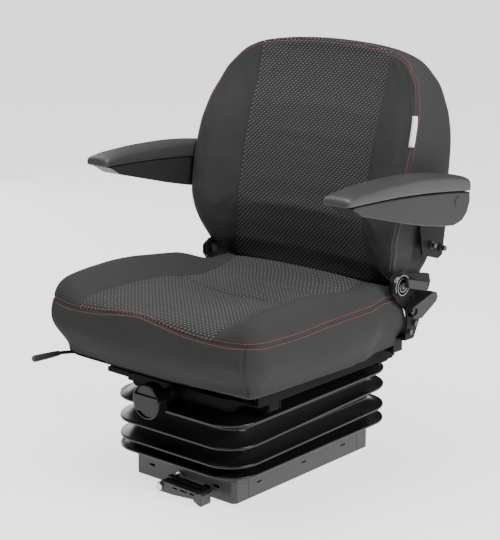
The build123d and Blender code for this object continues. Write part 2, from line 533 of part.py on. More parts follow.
rl -= cx(7.2, 269.6, 280, 143, 322)
put("recliner_lever", rl)

# ---------------------------------------------------------------- backrest
bt = radians(BACK_TILT)
FW = Vector(0, -cos(bt), sin(bt))
back_pl = Plane(origin=(0, BACK_Y, BACK_Z), x_dir=(1, 0, 0), z_dir=FW)     # local y is up the back

def side_outline(inset):
    # front view of the back, seen along Y; inset moves it inwards
    pts = []
    for x, z in BACK_SIDE:
        t = max(0.0, min(1.0, (z - 640) / 165))
        pts.append((x - inset * (1 - 0.8 * t), z - inset * t * (1.0 if t else 0.0)))
    pts[0] = (pts[0][0], pts[0][1] + inset)
    full = pts + [(-x, z) for x, z in reversed(pts)]
    return full

def band(d0, d1):
    # slab that follows the rear, d0 to d1 in front of it
    a = [(y - d0, z) for y, z in BACK_REAR]
    b = [(y - d1, z) for y, z in BACK_REAR]
    return a + b[::-1]

bc = yz(BACK_FRONT + BACK_REAR + [(150, 362)], -300, 300) & xz(side_outline(0), 50, 340)
bc = safe_fillet(bc, [e for e in bc.edges() if e.center().Y > 225 and e.length > 20], 12)
bc = safe_fillet(bc, [e for e in bc.edges() if e.center().Y < 215 and e.length > 20 and abs(e.center().X) > 150], 10)
# shallow hollow between the side bolsters
bc -= yz([(y + (8 if 430 < z < 700 else 0), z) for y, z in BACK_FRONT[1:-2]] + [(60, 755), (60, 440)], -150, 150)
panel_cut = yz(band(-30, 9.0), -300, 300) & xz(side_outline(16), 50, 340)
bc -= panel_cut

def loc_box(x0, x1, u0, u1, d0, d1):
    b = Box(x1 - x0, u1 - u0, d1 - d0)
    return back_pl.location * (Pos((x0 + x1) / 2, (u0 + u1) / 2, (d0 + d1) / 2) * b)

def hoop(g):
    f = loc_box(-214 - g, 214 + g, 30 - g, 52 + g, 14 - g, 30 + g)
    f += loc_box(-176 - g, 176 + g, 362 - g, 384 + g, 14 - g, 30 + g)
    f += loc_box(-214 - g, -190 + g, 30 - g, 320 + g, 14 - g, 30 + g)
    f += loc_box(190 - g, 214 + g, 30 - g, 320 + g, 14 - g, 30 + g)
    for s in (-1, 1):
        q = back_pl.location * extrude(face([(s * (190 - g), 318), (s * (214 + g), 318), (s * (176 + g), 384 + g), (s * (152 - g), 384 + g)]), amount=16 + 2 * g)
        f += back_pl.location * (Pos(0, 0, 14 - g)) * (back_pl.location.inverse() * q)
        # side plate that takes the bolts of the arm bracket
        xs = sorted((s * (210 - g), s * (216 + g)))
        f += bx(xs[0], xs[1], 190 - g, 240 + g, 418 - g, 456 + g)
    return f

bolts_yz = ((200, 440), (233, 429))
fr = hoop(0.0)
for y, z in bolts_yz:
    fr -= cx(4.02, -230, 230, y, z)
put("back_frame", fr)
bc -= hoop(0.3)
bc -= loc_box(-216, 216, -15, 31, 13.5, 30.5)
panel = yz(band(0.4, 8.6), -300, 300) & xz(side_outline(16.8), 50, 340)
panel = safe_fillet(panel, [e for e in panel.edges() if e.length > 40 and abs(e.center().X) > 120 and e.center().Y > 235], 2.0)
put("back_panel", panel)

# upper recliner plates, joined to the frame under the cushion
def rec_plate(x0, inner):
    p = yz([(98, 362), (98, 388), (108, 396), (128, 396), (205, 382), (221, 378), (226, 362), (220, 347), (205, 344), (150, 356), (108, 354)], x0, x0 + 5)
    p = safe_fillet(p, p.edges().filter_by(Axis.X), 4)
    p -= cx(7.0 + FIT, x0 - 6, x0 + 9, REC_Y, REC_Z)
    # foot turned inwards to the lower frame tube
    return p + loc_box(inner, x0 + 4.5, 5, 29.8, 16, 28)

put("recliner_plate_left", rec_plate(246.5, 190))
put("recliner_plate_right", mirror_x(rec_plate(246.5 - PLATE_IN, 190)))
foot = loc_box(189, 300, -10, 31, 15, 29)
bc -= foot
bc -= mirror_x(foot)
bc -= bx(245.6, 300, 40, 320, 300, 412)
bc -= bx(-300, -213.6, 40, 320, 300, 399)
bc -= bx(-300, -219.6, 40, 320, 300, 408)
bc -= bx(-300, -209.6, 40, 128, 300, 388)
for s in (-1, 1):
    xs = sorted((s * 253.5, s * 300))
    bc -= bx(xs[0], xs[1], 150, 320, 405, 560)
    for y, z in bolts_yz:
        xs = sorted((s * 200, s * 300))
        bc -= cx(9.4, xs[0], xs[1], y, z)

# arm brackets, bolted through the side of the back
BKX0, BKX1 = 262.0, 266.0
bk = yz([(176, 424), (228, 408), (242, 414), (250, 466), (230, 540), (212, 550), (192, 545), (184, 520), (165, 486)], BKX0, BKX1)
bk = safe_fillet(bk, bk.edges().filter_by(Axis.X), 4)
bk -= cx(8.02, 255, 270, ARM_Y, ARM_Z)
for y, z in bolts_yz:
    bk -= cx(4.02, 255, 270, y, z)
put("arm_bracket_left", bk)
put("arm_bracket_right", mirror_x(bk))
bolts, spac = [], []
for s in (-1, 1):
    for y, z in bolts_yz:
        xs = sorted((s * 208.0, s * 274.0))
        b = cx(4.0, xs[0], xs[1], y, z)
        xs = sorted((s * 266.0, s * 272.0))
        b += cx(7.0, xs[0], xs[1], y, z)
        xs = sorted((s * 272.0, s * 279.0))
        b += cx(5.0, xs[0], xs[1], y, z)
        bolts.append(b)
        xs = sorted((s * 216.0, s * 262.0))
        spac.append(cx(9.0, xs[0], xs[1], y, z) - cx(4.02, xs[0] - 1, xs[1] + 1, y, z))
put("arm_bracket_bolts", Compound(children=bolts + spac))
put("back_cushion", bc)
pv = []
for s in (-1, 1):
    xs = sorted((s * 259.0, s * (REST_X0 + 30)))
    h = sorted((s * 256.0, s * 262.0))
    pv.append(cx(8.0, xs[0], xs[1], ARM_Y, ARM_Z) + cx(12.0, h[0], h[1], ARM_Y, ARM_Z))
put("arm_pivot_pins", Compound(children=pv))

# ---------------------------------------------------------------- armrests
BX0, BX1 = REST_X0 + 3, REST_X1 - 2.5
arm_lo = [(-136, 566), (-100, 549), (-30, 532), (40, 515), (100, 501), (160, 490), (196, 486), (222, 491), (238, 504), (247, 524), (246, 542.5)]
seam_up = [(178, 551), (91, 559.5), (7, 565.0), (-72, 567.6), (-124, 568.5)]
ab = yz(arm_lo + seam_up, BX0, BX1)
ab = safe_fillet(ab, ab.faces().sort_by(Axis.X)[-1].edges() + ab.faces().sort_by(Axis.X)[0].edges(), 2.5)
ab -= cx(8.0 + FIT, BX0 - 5, REST_X0 + 32, ARM_Y, ARM_Z)
ab -= cx(11.0, BX1 - 3.1, BX1 + 5, ARM_Y - 1, ARM_Z)
put("armrest_body_left", ab)
put("armrest_body_right", mirror_x(ab))
cap = cx(10.9, BX1 - 3.1, BX1 + 1.1, ARM_Y - 1, ARM_Z)
cap = safe_fillet(cap, cap.faces().sort_by(Axis.X)[-1].edges(), 1.0)
put("armrest_cap_left", cap)
put("armrest_cap_right", mirror_x(cap))
pad_lo = [(246, 542.9), (178, 551.4), (91, 559.9), (7, 565.4), (-72, 568.0), (-140, 569.5)]
pad_hi = [(-155, 575), (-152, 584), (-122, 589), (-60, 593), (0, 595), (60, 594.5), (124, 590), (195, 580.5), (240, 571), (250, 562)]
pad = yz(pad_lo + pad_hi, REST_X0, REST_X1)
pad = safe_fillet(pad, pad.edges().filter_by(Plane.YZ).sort_by(Axis.Z)[-14:], 5)
put("armrest_pad_left", pad)
put("armrest_pad_right", mirror_x(pad))

# --------------------------------------------------------------- write out
os.makedirs("parts", exist_ok=True)
for name, shape in NODES.items():
    export_step(shape, "parts/" + name + ".step")
print(len(NODES), "nodes")
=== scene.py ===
import bpy, json, math, random
import numpy as np
from mathutils import Vector, Matrix
from mathutils.bvhtree import BVHTree


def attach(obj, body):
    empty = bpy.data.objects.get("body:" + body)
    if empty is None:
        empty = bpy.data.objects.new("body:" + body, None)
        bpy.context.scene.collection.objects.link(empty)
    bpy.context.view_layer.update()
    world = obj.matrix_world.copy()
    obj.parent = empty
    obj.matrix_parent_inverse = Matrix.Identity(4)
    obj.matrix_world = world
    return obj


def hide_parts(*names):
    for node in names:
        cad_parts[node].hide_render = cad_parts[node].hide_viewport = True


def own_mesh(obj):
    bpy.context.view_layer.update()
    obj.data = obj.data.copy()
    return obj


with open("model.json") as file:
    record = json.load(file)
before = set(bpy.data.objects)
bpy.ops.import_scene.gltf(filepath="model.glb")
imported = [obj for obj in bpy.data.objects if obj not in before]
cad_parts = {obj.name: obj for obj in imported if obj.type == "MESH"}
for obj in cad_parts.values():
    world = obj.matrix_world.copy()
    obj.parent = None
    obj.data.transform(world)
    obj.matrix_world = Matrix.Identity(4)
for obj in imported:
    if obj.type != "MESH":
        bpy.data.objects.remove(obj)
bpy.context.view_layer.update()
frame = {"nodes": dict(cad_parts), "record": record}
nodes = frame["nodes"]
random.seed(7)
RNG = np.random.RandomState(7)

# ------------------------------------------------------------ small helpers
def pchip(xs, ys):
    # smooth curve through points that keeps their rises and falls
    xs = np.array(xs, float)
    ys = np.array(ys, float)
    h = np.diff(xs)
    d = np.diff(ys) / h
    m = np.zeros_like(ys)
    m[0], m[-1] = d[0], d[-1]
    for i in range(1, len(xs) - 1):
        if d[i - 1] * d[i] > 0:
            w1, w2 = 2 * h[i] + h[i - 1], h[i] + 2 * h[i - 1]
            m[i] = (w1 + w2) / (w1 / d[i - 1] + w2 / d[i])
    def f(x):
        x = np.clip(np.asarray(x, float), xs[0], xs[-1])
        i = np.clip(np.searchsorted(xs, x) - 1, 0, len(xs) - 2)
        t = (x - xs[i]) / h[i]
        return (ys[i] * (1 + 2 * t) * (1 - t) ** 2 + m[i] * h[i] * t * (1 - t) ** 2
                + ys[i + 1] * t * t * (3 - 2 * t) + m[i + 1] * h[i] * t * t * (t - 1))
    return f

def smooth01(t):
    t = np.clip(t, 0.0, 1.0)
    return t * t * (3 - 2 * t)

def arclen(P):
    return np.r_[0, np.cumsum(np.linalg.norm(np.diff(P, axis=0), axis=1))]

def resample(P, n):
    P = np.array(P, float)
    d = arclen(P)
    t = np.linspace(0, d[-1], n + 1)
    return np.stack([np.interp(t, d, P[:, k]) for k in range(P.shape[1])], 1)

def spline(P, n, closed=False):
    # Catmull-Rom through the points, then n even steps
    P = np.array(P, float)
    Q = np.vstack([P[-1:], P, P[:2]]) if closed else np.vstack([2 * P[0] - P[1], P, 2 * P[-1] - P[-2]])
    out = []
    for i in range(1, len(Q) - 2):
        a, b, c, d = Q[i - 1], Q[i], Q[i + 1], Q[i + 2]
        for t in np.linspace(0, 1, 24, endpoint=False):
            out.append(0.5 * (2 * b + (c - a) * t + (2 * a - 5 * b + 4 * c - d) * t * t + (-a + 3 * b - 3 * c + d) * t ** 3))
    out.append(Q[-2])
    return resample(np.array(out), n)

def mesh_obj(name, verts, faces, mats=(), smooth=True):
    me = bpy.data.meshes.new(name)
    me.from_pydata([tuple(map(float, v)) for v in verts], [], [tuple(map(int, f)) for f in faces])
    me.update()
    if smooth:
        me.polygons.foreach_set("use_smooth", [True] * len(me.polygons))
    ob = bpy.data.objects.new(name, me)
    bpy.context.scene.collection.objects.link(ob)
    for m in mats:
        me.materials.append(m)
    return ob

def coords(ob):
    co = np.empty(len(ob.data.vertices) * 3)
    ob.data.vertices.foreach_get("co", co)
    return co.reshape(-1, 3)

def set_coords(ob, co):
    ob.data.vertices.foreach_set("co", np.ascontiguousarray(co, dtype=float).ravel())
    ob.data.update()

def attr(ob, name, kind, values):
    a = ob.data.attributes.get(name) or ob.data.attributes.new(name, kind, "POINT")
    key = "vector" if kind == "FLOAT_VECTOR" else "value"
    a.data.foreach_set(key, np.ascontiguousarray(values, dtype=float).ravel())

def apply_mods(ob):
    dg = bpy.context.evaluated_depsgraph_get()
    me = bpy.data.meshes.new_from_object(ob.evaluated_get(dg), preserve_all_data_layers=True, depsgraph=dg)
    old = ob.data
    ob.modifiers.clear()
    ob.data = me
    bpy.data.meshes.remove(old)
    ob.data.polygons.foreach_set("use_smooth", [True] * len(ob.data.polygons))

def subdivide(ob, levels=1):
    m = ob.modifiers.new("s", "SUBSURF")
    m.levels = m.render_levels = levels
    m.boundary_smooth = "PRESERVE_CORNERS"
    apply_mods(ob)

def vnormals(ob):
    n = np.empty(len(ob.data.vertices) * 3)
    ob.data.vertices.foreach_get("normal", n)
    return n.reshape(-1, 3)

def bvh_of(ob):
    co = coords(ob)
    return BVHTree.FromPolygons([Vector(c) for c in co], [tuple(p.vertices) for p in ob.data.polygons])

def puff(ob, pins, pressure=2.0, frames=14, cap=0.006, tension=18.0, bending=1.0):
    # inflates the cover between its pinned seams, with a limit on how far a point may move
    before = coords(ob)
    vg = ob.vertex_groups.new(name="pin")
    for i, w in enumerate(pins):
        if w > 0:
            vg.add([i], float(w), "REPLACE")
    m = ob.modifiers.new("c", "CLOTH")
    s = m.settings
    s.quality = 5
    s.mass = 0.25
    s.tension_stiffness = tension
    s.compression_stiffness = tension
    s.shear_stiffness = 8
    s.bending_stiffness = bending
    s.use_pressure = True
    s.uniform_pressure_force = pressure
    s.vertex_group_mass = "pin"
    s.pin_stiffness = 1.0
    s.effector_weights.gravity = 0
    m.collision_settings.use_collision = False
    m.collision_settings.use_self_collision = False
    m.point_cache.frame_start = 1
    m.point_cache.frame_end = frames + 1
    sc = bpy.context.scene
    for f in range(1, frames + 1):
        sc.frame_set(f)
    dg = bpy.context.evaluated_depsgraph_get()
    ev = ob.evaluated_get(dg)
    n = len(ev.data.vertices)
    after = np.empty(n * 3)
    ev.data.vertices.foreach_get("co", after)
    after = after.reshape(-1, 3)
    ob.modifiers.clear()
    ob.vertex_groups.clear()
    sc.frame_set(1)
    d = after - before
    L = np.linalg.norm(d, axis=1)
    k = np.where(L > 1e-9, cap * np.tanh(L / cap) / np.maximum(L, 1e-9), 0)
    set_coords(ob, before + d * k[:, None])

# ---------------------------------------------------------------- materials
class Tree:
    def __init__(self, name):
        self.m = bpy.data.materials.new(name)
        self.m.use_nodes = True
        self.t = self.m.node_tree
        self.t.nodes.clear()
        self.out = self.t.nodes.new("ShaderNodeOutputMaterial")
        self.b = self.t.nodes.new("ShaderNodeBsdfPrincipled")
        self.t.links.new(self.b.outputs[0], self.out.inputs[0])
    def n(self, kind, **kw):
        nd = self.t.nodes.new(kind)
        for k, v in kw.items():
            setattr(nd, k, v)
        return nd
    def link(self, a, b):
        self.t.links.new(a, b)
    def put(self, sock, v):
        if hasattr(v, "is_output") or isinstance(v, bpy.types.NodeSocket):
            self.link(v, sock)
        else:
            sock.default_value = v
    def math(self, op, a, b=None, c=None, clamp=False):
        nd = self.n("ShaderNodeMath", operation=op)
        nd.use_clamp = clamp
        for i, v in enumerate((a, b, c)):
            if v is not None:
                self.put(nd.inputs[i], v)
        return nd.outputs[0]
    def vec(self, op, a, b=None):
        nd = self.n("ShaderNodeVectorMath", operation=op)
        for i, v in enumerate((a, b)):
            if v is not None:
                self.put(nd.inputs[i], v)
        return nd.outputs[0]
    def obj(self):
        return self.n("ShaderNodeTexCoord").outputs["Object"]
    def noise(self, scale, detail=2.0, rough=0.5, vec=None, w=None):
        nd = self.n("ShaderNodeTexNoise")
        nd.inputs["Scale"].default_value = scale
        nd.inputs["Detail"].default_value = detail
        nd.inputs["Roughness"].default_value = rough
        self.link(vec if vec is not None else self.obj(), nd.inputs["Vector"])
        return nd.outputs["Fac"]
    def ramp(self, fac, a, b):
        nd = self.n("ShaderNodeMapRange")
        self.put(nd.inputs["Value"], fac)
        nd.inputs["From Min"].default_value = a[0]
        nd.inputs["From Max"].default_value = a[1]
        nd.inputs["To Min"].default_value = b[0]
        nd.inputs["To Max"].default_value = b[1]
        return nd.outputs["Result"]
    def mix(self, fac, a, b):
        nd = self.n("ShaderNodeMix", data_type="RGBA")
        self.put(nd.inputs[0], fac)
        self.put(nd.inputs[6], a)
        self.put(nd.inputs[7], b)
        return nd.outputs[2]
    def bump(self, height, strength=0.3, dist=0.001, normal=None):
        nd = self.n("ShaderNodeBump")
        nd.inputs["Strength"].default_value = strength
        nd.inputs["Distance"].default_value = dist
        self.put(nd.inputs["Height"], height)
        if normal is not None:
            self.link(normal, nd.inputs["Normal"])
        return nd.outputs[0]
    def set(self, **kw):
        for k, v in kw.items():
            self.put(self.b.inputs[k.replace("_", " ")], v)

def rgb(v, g=None, b=None):
    return (v, v if g is None else g, v if b is None else b, 1.0)

def plain(name, col, rough, metal=0.0, grain=900.0, bump=0.15, dist=0.0002, vary=0.12, coat=0.0, spec=0.5, sheen=0.0):
    t = Tree(name)
    f = t.noise(grain, 3.0, 0.6)
    g = t.noise(14.0, 2.0, 0.5)
    dark = tuple(c * (1 - vary) for c in col[:3]) + (1.0,)
    lite = tuple(min(1.0, c * (1 + vary)) for c in col[:3]) + (1.0,)
    t.set(Base_Color=t.mix(g, dark, lite), Metallic=metal, Roughness=t.ramp(f, (0.3, 0.7), (max(0.02, rough - 0.05), rough + 0.05)),
          Normal=t.bump(f, bump, dist))
    t.b.inputs["Specular IOR Level"].default_value = spec
    t.b.inputs["Coat Weight"].default_value = coat
    t.b.inputs["Coat Roughness"].default_value = 0.12
    if sheen:
        t.b.inputs["Sheen Weight"].default_value = sheen
    return t.m

def cloth_material(name, base=0.0262, dot=0.094):
    t = Tree(name)
    puv = t.n("ShaderNodeAttribute", attribute_name="puv").outputs["Vector"]
    sd = t.n("ShaderNodeAttribute", attribute_name="sd").outputs["Fac"]
    sp = t.n("ShaderNodeSeparateXYZ")
    t.link(puv, sp.inputs[0])
    u = t.math("DIVIDE", sp.outputs[0], 0.0092)
    v = t.math("DIVIDE", sp.outputs[1], 0.0090)
    def cell(off):
        a = t.math("SUBTRACT", t.math("FRACT", t.math("ADD", u, 100.0 + off)), 0.5)
        b = t.math("SUBTRACT", t.math("FRACT", t.math("ADD", v, 100.0 + off)), 0.5)
        # turned by about 25 degrees
        p = t.math("ADD", t.math("MULTIPLY", a, 0.906), t.math("MULTIPLY", b, 0.423))
        q = t.math("SUBTRACT", t.math("MULTIPLY", b, 0.906), t.math("MULTIPLY", a, 0.423))
        r = t.math("SQRT", t.math("ADD", t.math("POWER", t.math("DIVIDE", p, 0.30), 2.0), t.math("POWER", t.math("DIVIDE", q, 0.125), 2.0)))
        return t.ramp(r, (0.7, 1.15), (1.0, 0.0))
    dots = t.math("MAXIMUM", cell(0.0), cell(0.5))
    ins = t.ramp(sd, (-0.0002, 0.0002), (0.0, 1.0))
    dots = t.math("MULTIPLY", dots, ins)
    # fine twill under everything
    w1 = t.n("ShaderNodeTexWave", wave_type="BANDS", bands_direction="DIAGONAL")
    w1.inputs["Scale"].default_value = 300.0
    w1.inputs["Distortion"].default_value = 0.8
    w1.inputs["Detail Scale"].default_value = 2.0
    t.link(t.obj(), w1.inputs["Vector"])
    fine = t.noise(1600.0, 3.0, 0.7)
    soft = t.noise(9.0, 2.0, 0.5)
    tw = t.math("ADD", t.math("MULTIPLY", w1.outputs["Fac"], 0.6), t.math("MULTIPLY", fine, 0.4))
    lo, hi = base * 0.72, base * 1.28
    c0 = t.mix(tw, rgb(lo, lo, lo * 1.03), rgb(hi, hi, hi * 1.03))
    c0 = t.mix(t.ramp(soft, (0.3, 0.7), (0.0, 0.22)), c0, rgb(base * 1.35))
    # coarser grain of the yarn, still seen from a few metres
    yarn = t.noise(430.0, 2.0, 0.6)
    c0 = t.mix(t.ramp(yarn, (0.36, 0.64), (0.0, 0.34)), c0, rgb(base * 1.55))
    ground = t.mix(ins, c0, t.mix(tw, rgb(0.0165), rgb(0.031)))
    col = t.mix(dots, ground, rgb(dot, dot, dot * 0.99))
    t.set(Base_Color=col, Roughness=t.ramp(tw, (0.0, 1.0), (0.78, 0.92)))
    h = t.math("ADD", t.math("MULTIPLY", tw, 0.35), t.math("MULTIPLY", dots, 0.8))
    t.set(Normal=t.bump(h, 0.5, 0.0005))
    t.b.inputs["Sheen Weight"].default_value = 0.0
    t.b.inputs["Sheen Roughness"].default_value = 0.5
    t.b.inputs["Specular IOR Level"].default_value = 0.08
    return t.m

M_CLOTH = cloth_material("seat_cloth")
M_UNDER = plain("under_cloth", (0.006, 0.006, 0.006), 0.9, spec=0.02, grain=1400, bump=0.3)
M_RED = plain("thread_red", (0.27, 0.034, 0.026), 0.6, grain=2500, bump=0.4, vary=0.2)
M_GREY = plain("thread_grey", (0.13, 0.13, 0.13), 0.6, grain=2500, bump=0.4, vary=0.2)
M_PAINT = plain("black_paint", (0.0075, 0.0075, 0.0079), 0.52, spec=0.11, grain=1400, bump=0.12, dist=0.00015, vary=0.1)
M_GLOSS = plain("gloss_paint", (0.010, 0.010, 0.011), 0.16, grain=700, bump=0.04, vary=0.1, coat=0.5)
M_RUBBER = plain("bellows_rubber", (0.006, 0.006, 0.006), 0.30, spec=0.34, grain=1100, bump=0.08, vary=0.15)
M_STOP = plain("stop_rubber", (0.012, 0.012, 0.012), 0.7, grain=900, bump=0.3)
M_ZINC = plain("zinc_steel", (0.62, 0.62, 0.64), 0.28, metal=1.0, grain=700, bump=0.1, vary=0.08)
M_DARKZINC = plain("black_zinc", (0.045, 0.045, 0.05), 0.35, metal=0.6, grain=900, bump=0.15)
M_SPRING = plain("spring_steel", (0.30, 0.30, 0.32), 0.35, metal=1.0, grain=500, bump=0.1)
M_CHROME = plain("chromed_rod", (0.75, 0.75, 0.77), 0.08, metal=1.0, grain=300, bump=0.02)
M_PLASTIC = plain("black_plastic", (0.0155, 0.0155, 0.016), 0.46, spec=0.26, grain=1700, bump=0.3, dist=0.0003, vary=0.08)
M_NYLON = plain("nylon", (0.78, 0.76, 0.70), 0.5, grain=600, bump=0.1)
M_PAD = plain("arm_pad", (0.031, 0.031, 0.032), 0.42, spec=0.32, grain=1300, bump=0.55, dist=0.0004, vary=0.1)
M_KNOB = plain("knob_plastic", (0.006, 0.006, 0.0064), 0.24, spec=0.22, grain=1200, bump=0.06, vary=0.08)
# darker, rougher copy of the black paint for the parts under the seat: the rougher, less glossy finish is real, the
# darker colour is painted shade
M_SHADED_DULL_PAINT = plain("dull_black_paint_painted_shade", (0.0055, 0.0055, 0.0058), 0.62, spec=0.06, grain=1400, bump=0.12, dist=0.00015, vary=0.1)
M_TRAY = plain("tray_paint", (0.026, 0.026, 0.027), 0.38, spec=0.36, grain=1400, bump=0.12, dist=0.00015, vary=0.1)
M_SHELL = plain("back_shell", (0.018, 0.018, 0.019), 0.5, spec=0.3, grain=1500, bump=0.4, dist=0.0004, vary=0.08)

SLOT_MAT = {"paint_black": M_PAINT, "paint_gloss": M_GLOSS, "zinc_steel": M_ZINC, "zinc_black": M_DARKZINC,
            "spring_steel": M_SPRING, "chrome_rod": M_CHROME, "bellows_rubber": M_RUBBER, "rubber_black": M_STOP,
            "plastic_black": M_PLASTIC, "nylon": M_NYLON, "arm_pad": M_PAD, "seat_fabric": M_CLOTH}
slots = {s["node"]: s["material_slot"] for s in frame["record"]["subparts"]}
for n, o in nodes.items():
    m = SLOT_MAT[slots[n]]
    o.data.materials.clear()
    o.data.materials.append(m)
# seat_pan, top_frame, the rails and bellows_clip take the darker copy of the black paint; its darker colour is painted
# shade under the seat
for n, m in {"weight_knob": M_KNOB, "back_panel": M_SHELL, "base_tray": M_TRAY, "lock_lever": M_TRAY,
             "seat_pan": M_SHADED_DULL_PAINT, "top_frame": M_SHADED_DULL_PAINT, "lower_rail_left": M_SHADED_DULL_PAINT, "lower_rail_right": M_SHADED_DULL_PAINT,
             "upper_rail_left": M_SHADED_DULL_PAINT, "upper_rail_right": M_SHADED_DULL_PAINT, "bellows_clip": M_SHADED_DULL_PAINT,
             "recliner_pins": M_DARKZINC, "hinge_bolts": M_DARKZINC,
             "recliner_spring": plain("clock_spring", (0.17, 0.17, 0.18), 0.32, metal=1.0, grain=500, bump=0.1)}.items():
    nodes[n].data.materials.clear()
    nodes[n].data.materials.append(m)

# --------------------------------------------------- patch and band builder
def coons(c0, c1, c2, c3):
    # c0 bottom, c1 right, c2 top, c3 left; bottom and top run the same way, so do left and right
    n, m = len(c0), len(c1)
    s = np.linspace(0, 1, n)[:, None, None]
    t = np.linspace(0, 1, m)[None, :, None]
    L = (1 - t) * c0[:, None, :] + t * c2[:, None, :]
    R = (1 - s) * c3[None, :, :] + s * c1[None, :, :]
    B = ((1 - s) * (1 - t) * c0[0] + s * (1 - t) * c0[-1] + (1 - s) * t * c2[0] + s * t * c2[-1])
    return L + R - B

class Shell:
    # a closed cover: front patch, band of rows round it, back patch
    def __init__(self, outline, corners, n, m):
        # outline: dense closed polyline in the patch plane, anticlockwise; corners: 4 indices
        N = len(outline)
        def seg(a, b, k):
            idx = [(a + i) % N for i in range((b - a) % N + 1)]
            return resample(outline[idx], k)
        a, b, c, d = corners
        self.n, self.m = n, m
        c0 = seg(a, b, n)
        c1 = seg(b, c, m)
        c2 = seg(c, d, n)[::-1]
        c3 = seg(d, a, m)[::-1]
        self.grid = coons(c0, c1, c2, c3)            # (n+1, m+1, 2)
        loop = [(i, 0) for i in range(n)] + [(n, j) for j in range(m)] + [(i, m) for i in range(n, 0, -1)] + [(0, j) for j in range(m, 0, -1)]
        self.loop = loop
        self.rim = np.array([self.grid[i, j] for i, j in loop])
    def rim_normals(self):
        P = self.rim
        t = np.roll(P, -1, 0) - np.roll(P, 1, 0)
        for _ in range(3):
            t = (np.roll(t, 1, 0) + 2 * t + np.roll(t, -1, 0)) / 4
        nrm = np.stack([t[:, 1], -t[:, 0]], 1)
        return nrm / np.linalg.norm(nrm, axis=1)[:, None]
    def build(self, front, rows, back):
        # front (n+1,m+1,3); rows list of (loop,3), last one is the rim of back; back (n+1,m+1,3)
        n, m = self.n, self.m
        V = [front.reshape(-1, 3)]
        fid = np.arange((n + 1) * (m + 1)).reshape(n + 1, m + 1)
        F = []
        for i in range(n):
            for j in range(m):
                F.append((fid[i, j], fid[i + 1, j], fid[i + 1, j + 1], fid[i, j + 1]))
        prev = np.array([fid[i, j] for i, j in self.loop])
        base = (n + 1) * (m + 1)
        self.row_ids = [prev]
        for r in rows[:-1]:
            V.append(r)
            cur = np.arange(base, base + len(r))
            base += len(r)
            k = len(r)
            for q in range(k):
                F.append((prev[q], cur[q], cur[(q + 1) % k], prev[(q + 1) % k]))
            prev = cur
            self.row_ids.append(cur)
        V.append(back.reshape(-1, 3))
        bid = base + np.arange((n + 1) * (m + 1)).reshape(n + 1, m + 1)
        last = np.array([bid[i, j] for i, j in self.loop])
        k = len(last)
        for q in range(k):
            F.append((prev[q], last[q], last[(q + 1) % k], prev[(q + 1) % k]))
        self.row_ids.append(last)
        for i in range(n):
            for j in range(m):
                F.append((bid[i, j], bid[i, j + 1], bid[i + 1, j + 1], bid[i + 1, j]))
        self.fid, self.bid = fid, bid
        return np.vstack(V), F

def nearest_on(P, Q):
    # distance and index of nearest point of polyline Q (dense) for each P
    D = np.full(len(P), 1e9)
    I = np.zeros(len(P), int)
    for k in range(0, len(P), 4000):
        d = np.linalg.norm(P[k:k + 4000, None, :] - Q[None], axis=2)
        I[k:k + 4000] = d.argmin(1)
        D[k:k + 4000] = d.min(1)
    return D, I

def polydist(P, Q):
    # distance of points P to the open 3-D polyline Q, with side ignored
    best = np.full(len(P), 1e9)
    for a, b in zip(Q, Q[1:]):
        ab = b - a
        t = np.clip(((P - a) @ ab) / max(1e-12, ab @ ab), 0, 1)
        d = np.linalg.norm(P - a - t[:, None] * ab, axis=1)
        best = np.minimum(best, d)
    return best

def stitches(name, rows, bvh, mat, body, pitch=0.0056, length=0.0038, r=0.00052, lift=0.0002):
    # short rounded threads laid on the surface along each row
    V, F = [], []
    ring = 6
    prof = [(-1.0, 0.25), (-0.72, 0.85), (0.0, 1.0), (0.72, 0.85), (1.0, 0.25)]
    for row in rows:
        row = np.array(row)
        d = arclen(row)
        cnt = int(d[-1] / pitch)
        for q in range(cnt):
            s0 = (q + 0.5) * pitch
            p = np.array([np.interp(s0, d, row[:, k]) for k in range(3)])
            p2 = np.array([np.interp(min(d[-1], s0 + 0.002), d, row[:, k]) for k in range(3)])
            hit = bvh.find_nearest(Vector(p))
            if hit[0] is None:
                continue
            nrm = np.array(hit[1])
            c = np.array(hit[0])
            t = p2 - p
            t = t - nrm * (t @ nrm)
            if np.linalg.norm(t) < 1e-9:
                continue
            t /= np.linalg.norm(t)
            b = np.cross(nrm, t)
            c = c + nrm * lift
            base = len(V)
            for a, w in prof:
                for k in range(ring):
                    th = 2 * math.pi * k / ring
                    V.append(c + t * a * length / 2 + (b * math.cos(th) + nrm * math.sin(th) * 0.8) * r * w - nrm * (abs(a) ** 3) * 0.0004)
            for s in range(len(prof) - 1):
                for k in range(ring):
                    F.append((base + s * ring + k, base + s * ring + (k + 1) % ring, base + (s + 1) * ring + (k + 1) % ring, base + (s + 1) * ring + k))
            F.append(tuple(base + k for k in range(ring))[::-1])
            F.append(tuple(base + (len(prof) - 1) * ring + k for k in range(ring)))
    ob = mesh_obj(name, V, F, (mat,))
    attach(ob, body)
    return ob

# ------------------------------------------------------------ seat cushion
CY0, CY1, CHX = -0.302, 0.164, 0.262

def half_right(y):
    return CHX - (CHX - 0.2435) * smooth01((y - 0.015) / 0.080)

def half_left(y):
    # cut in at the rear for the pivot plate
    return CHX - (CHX - 0.2065) * smooth01((y - 0.038) / 0.052)

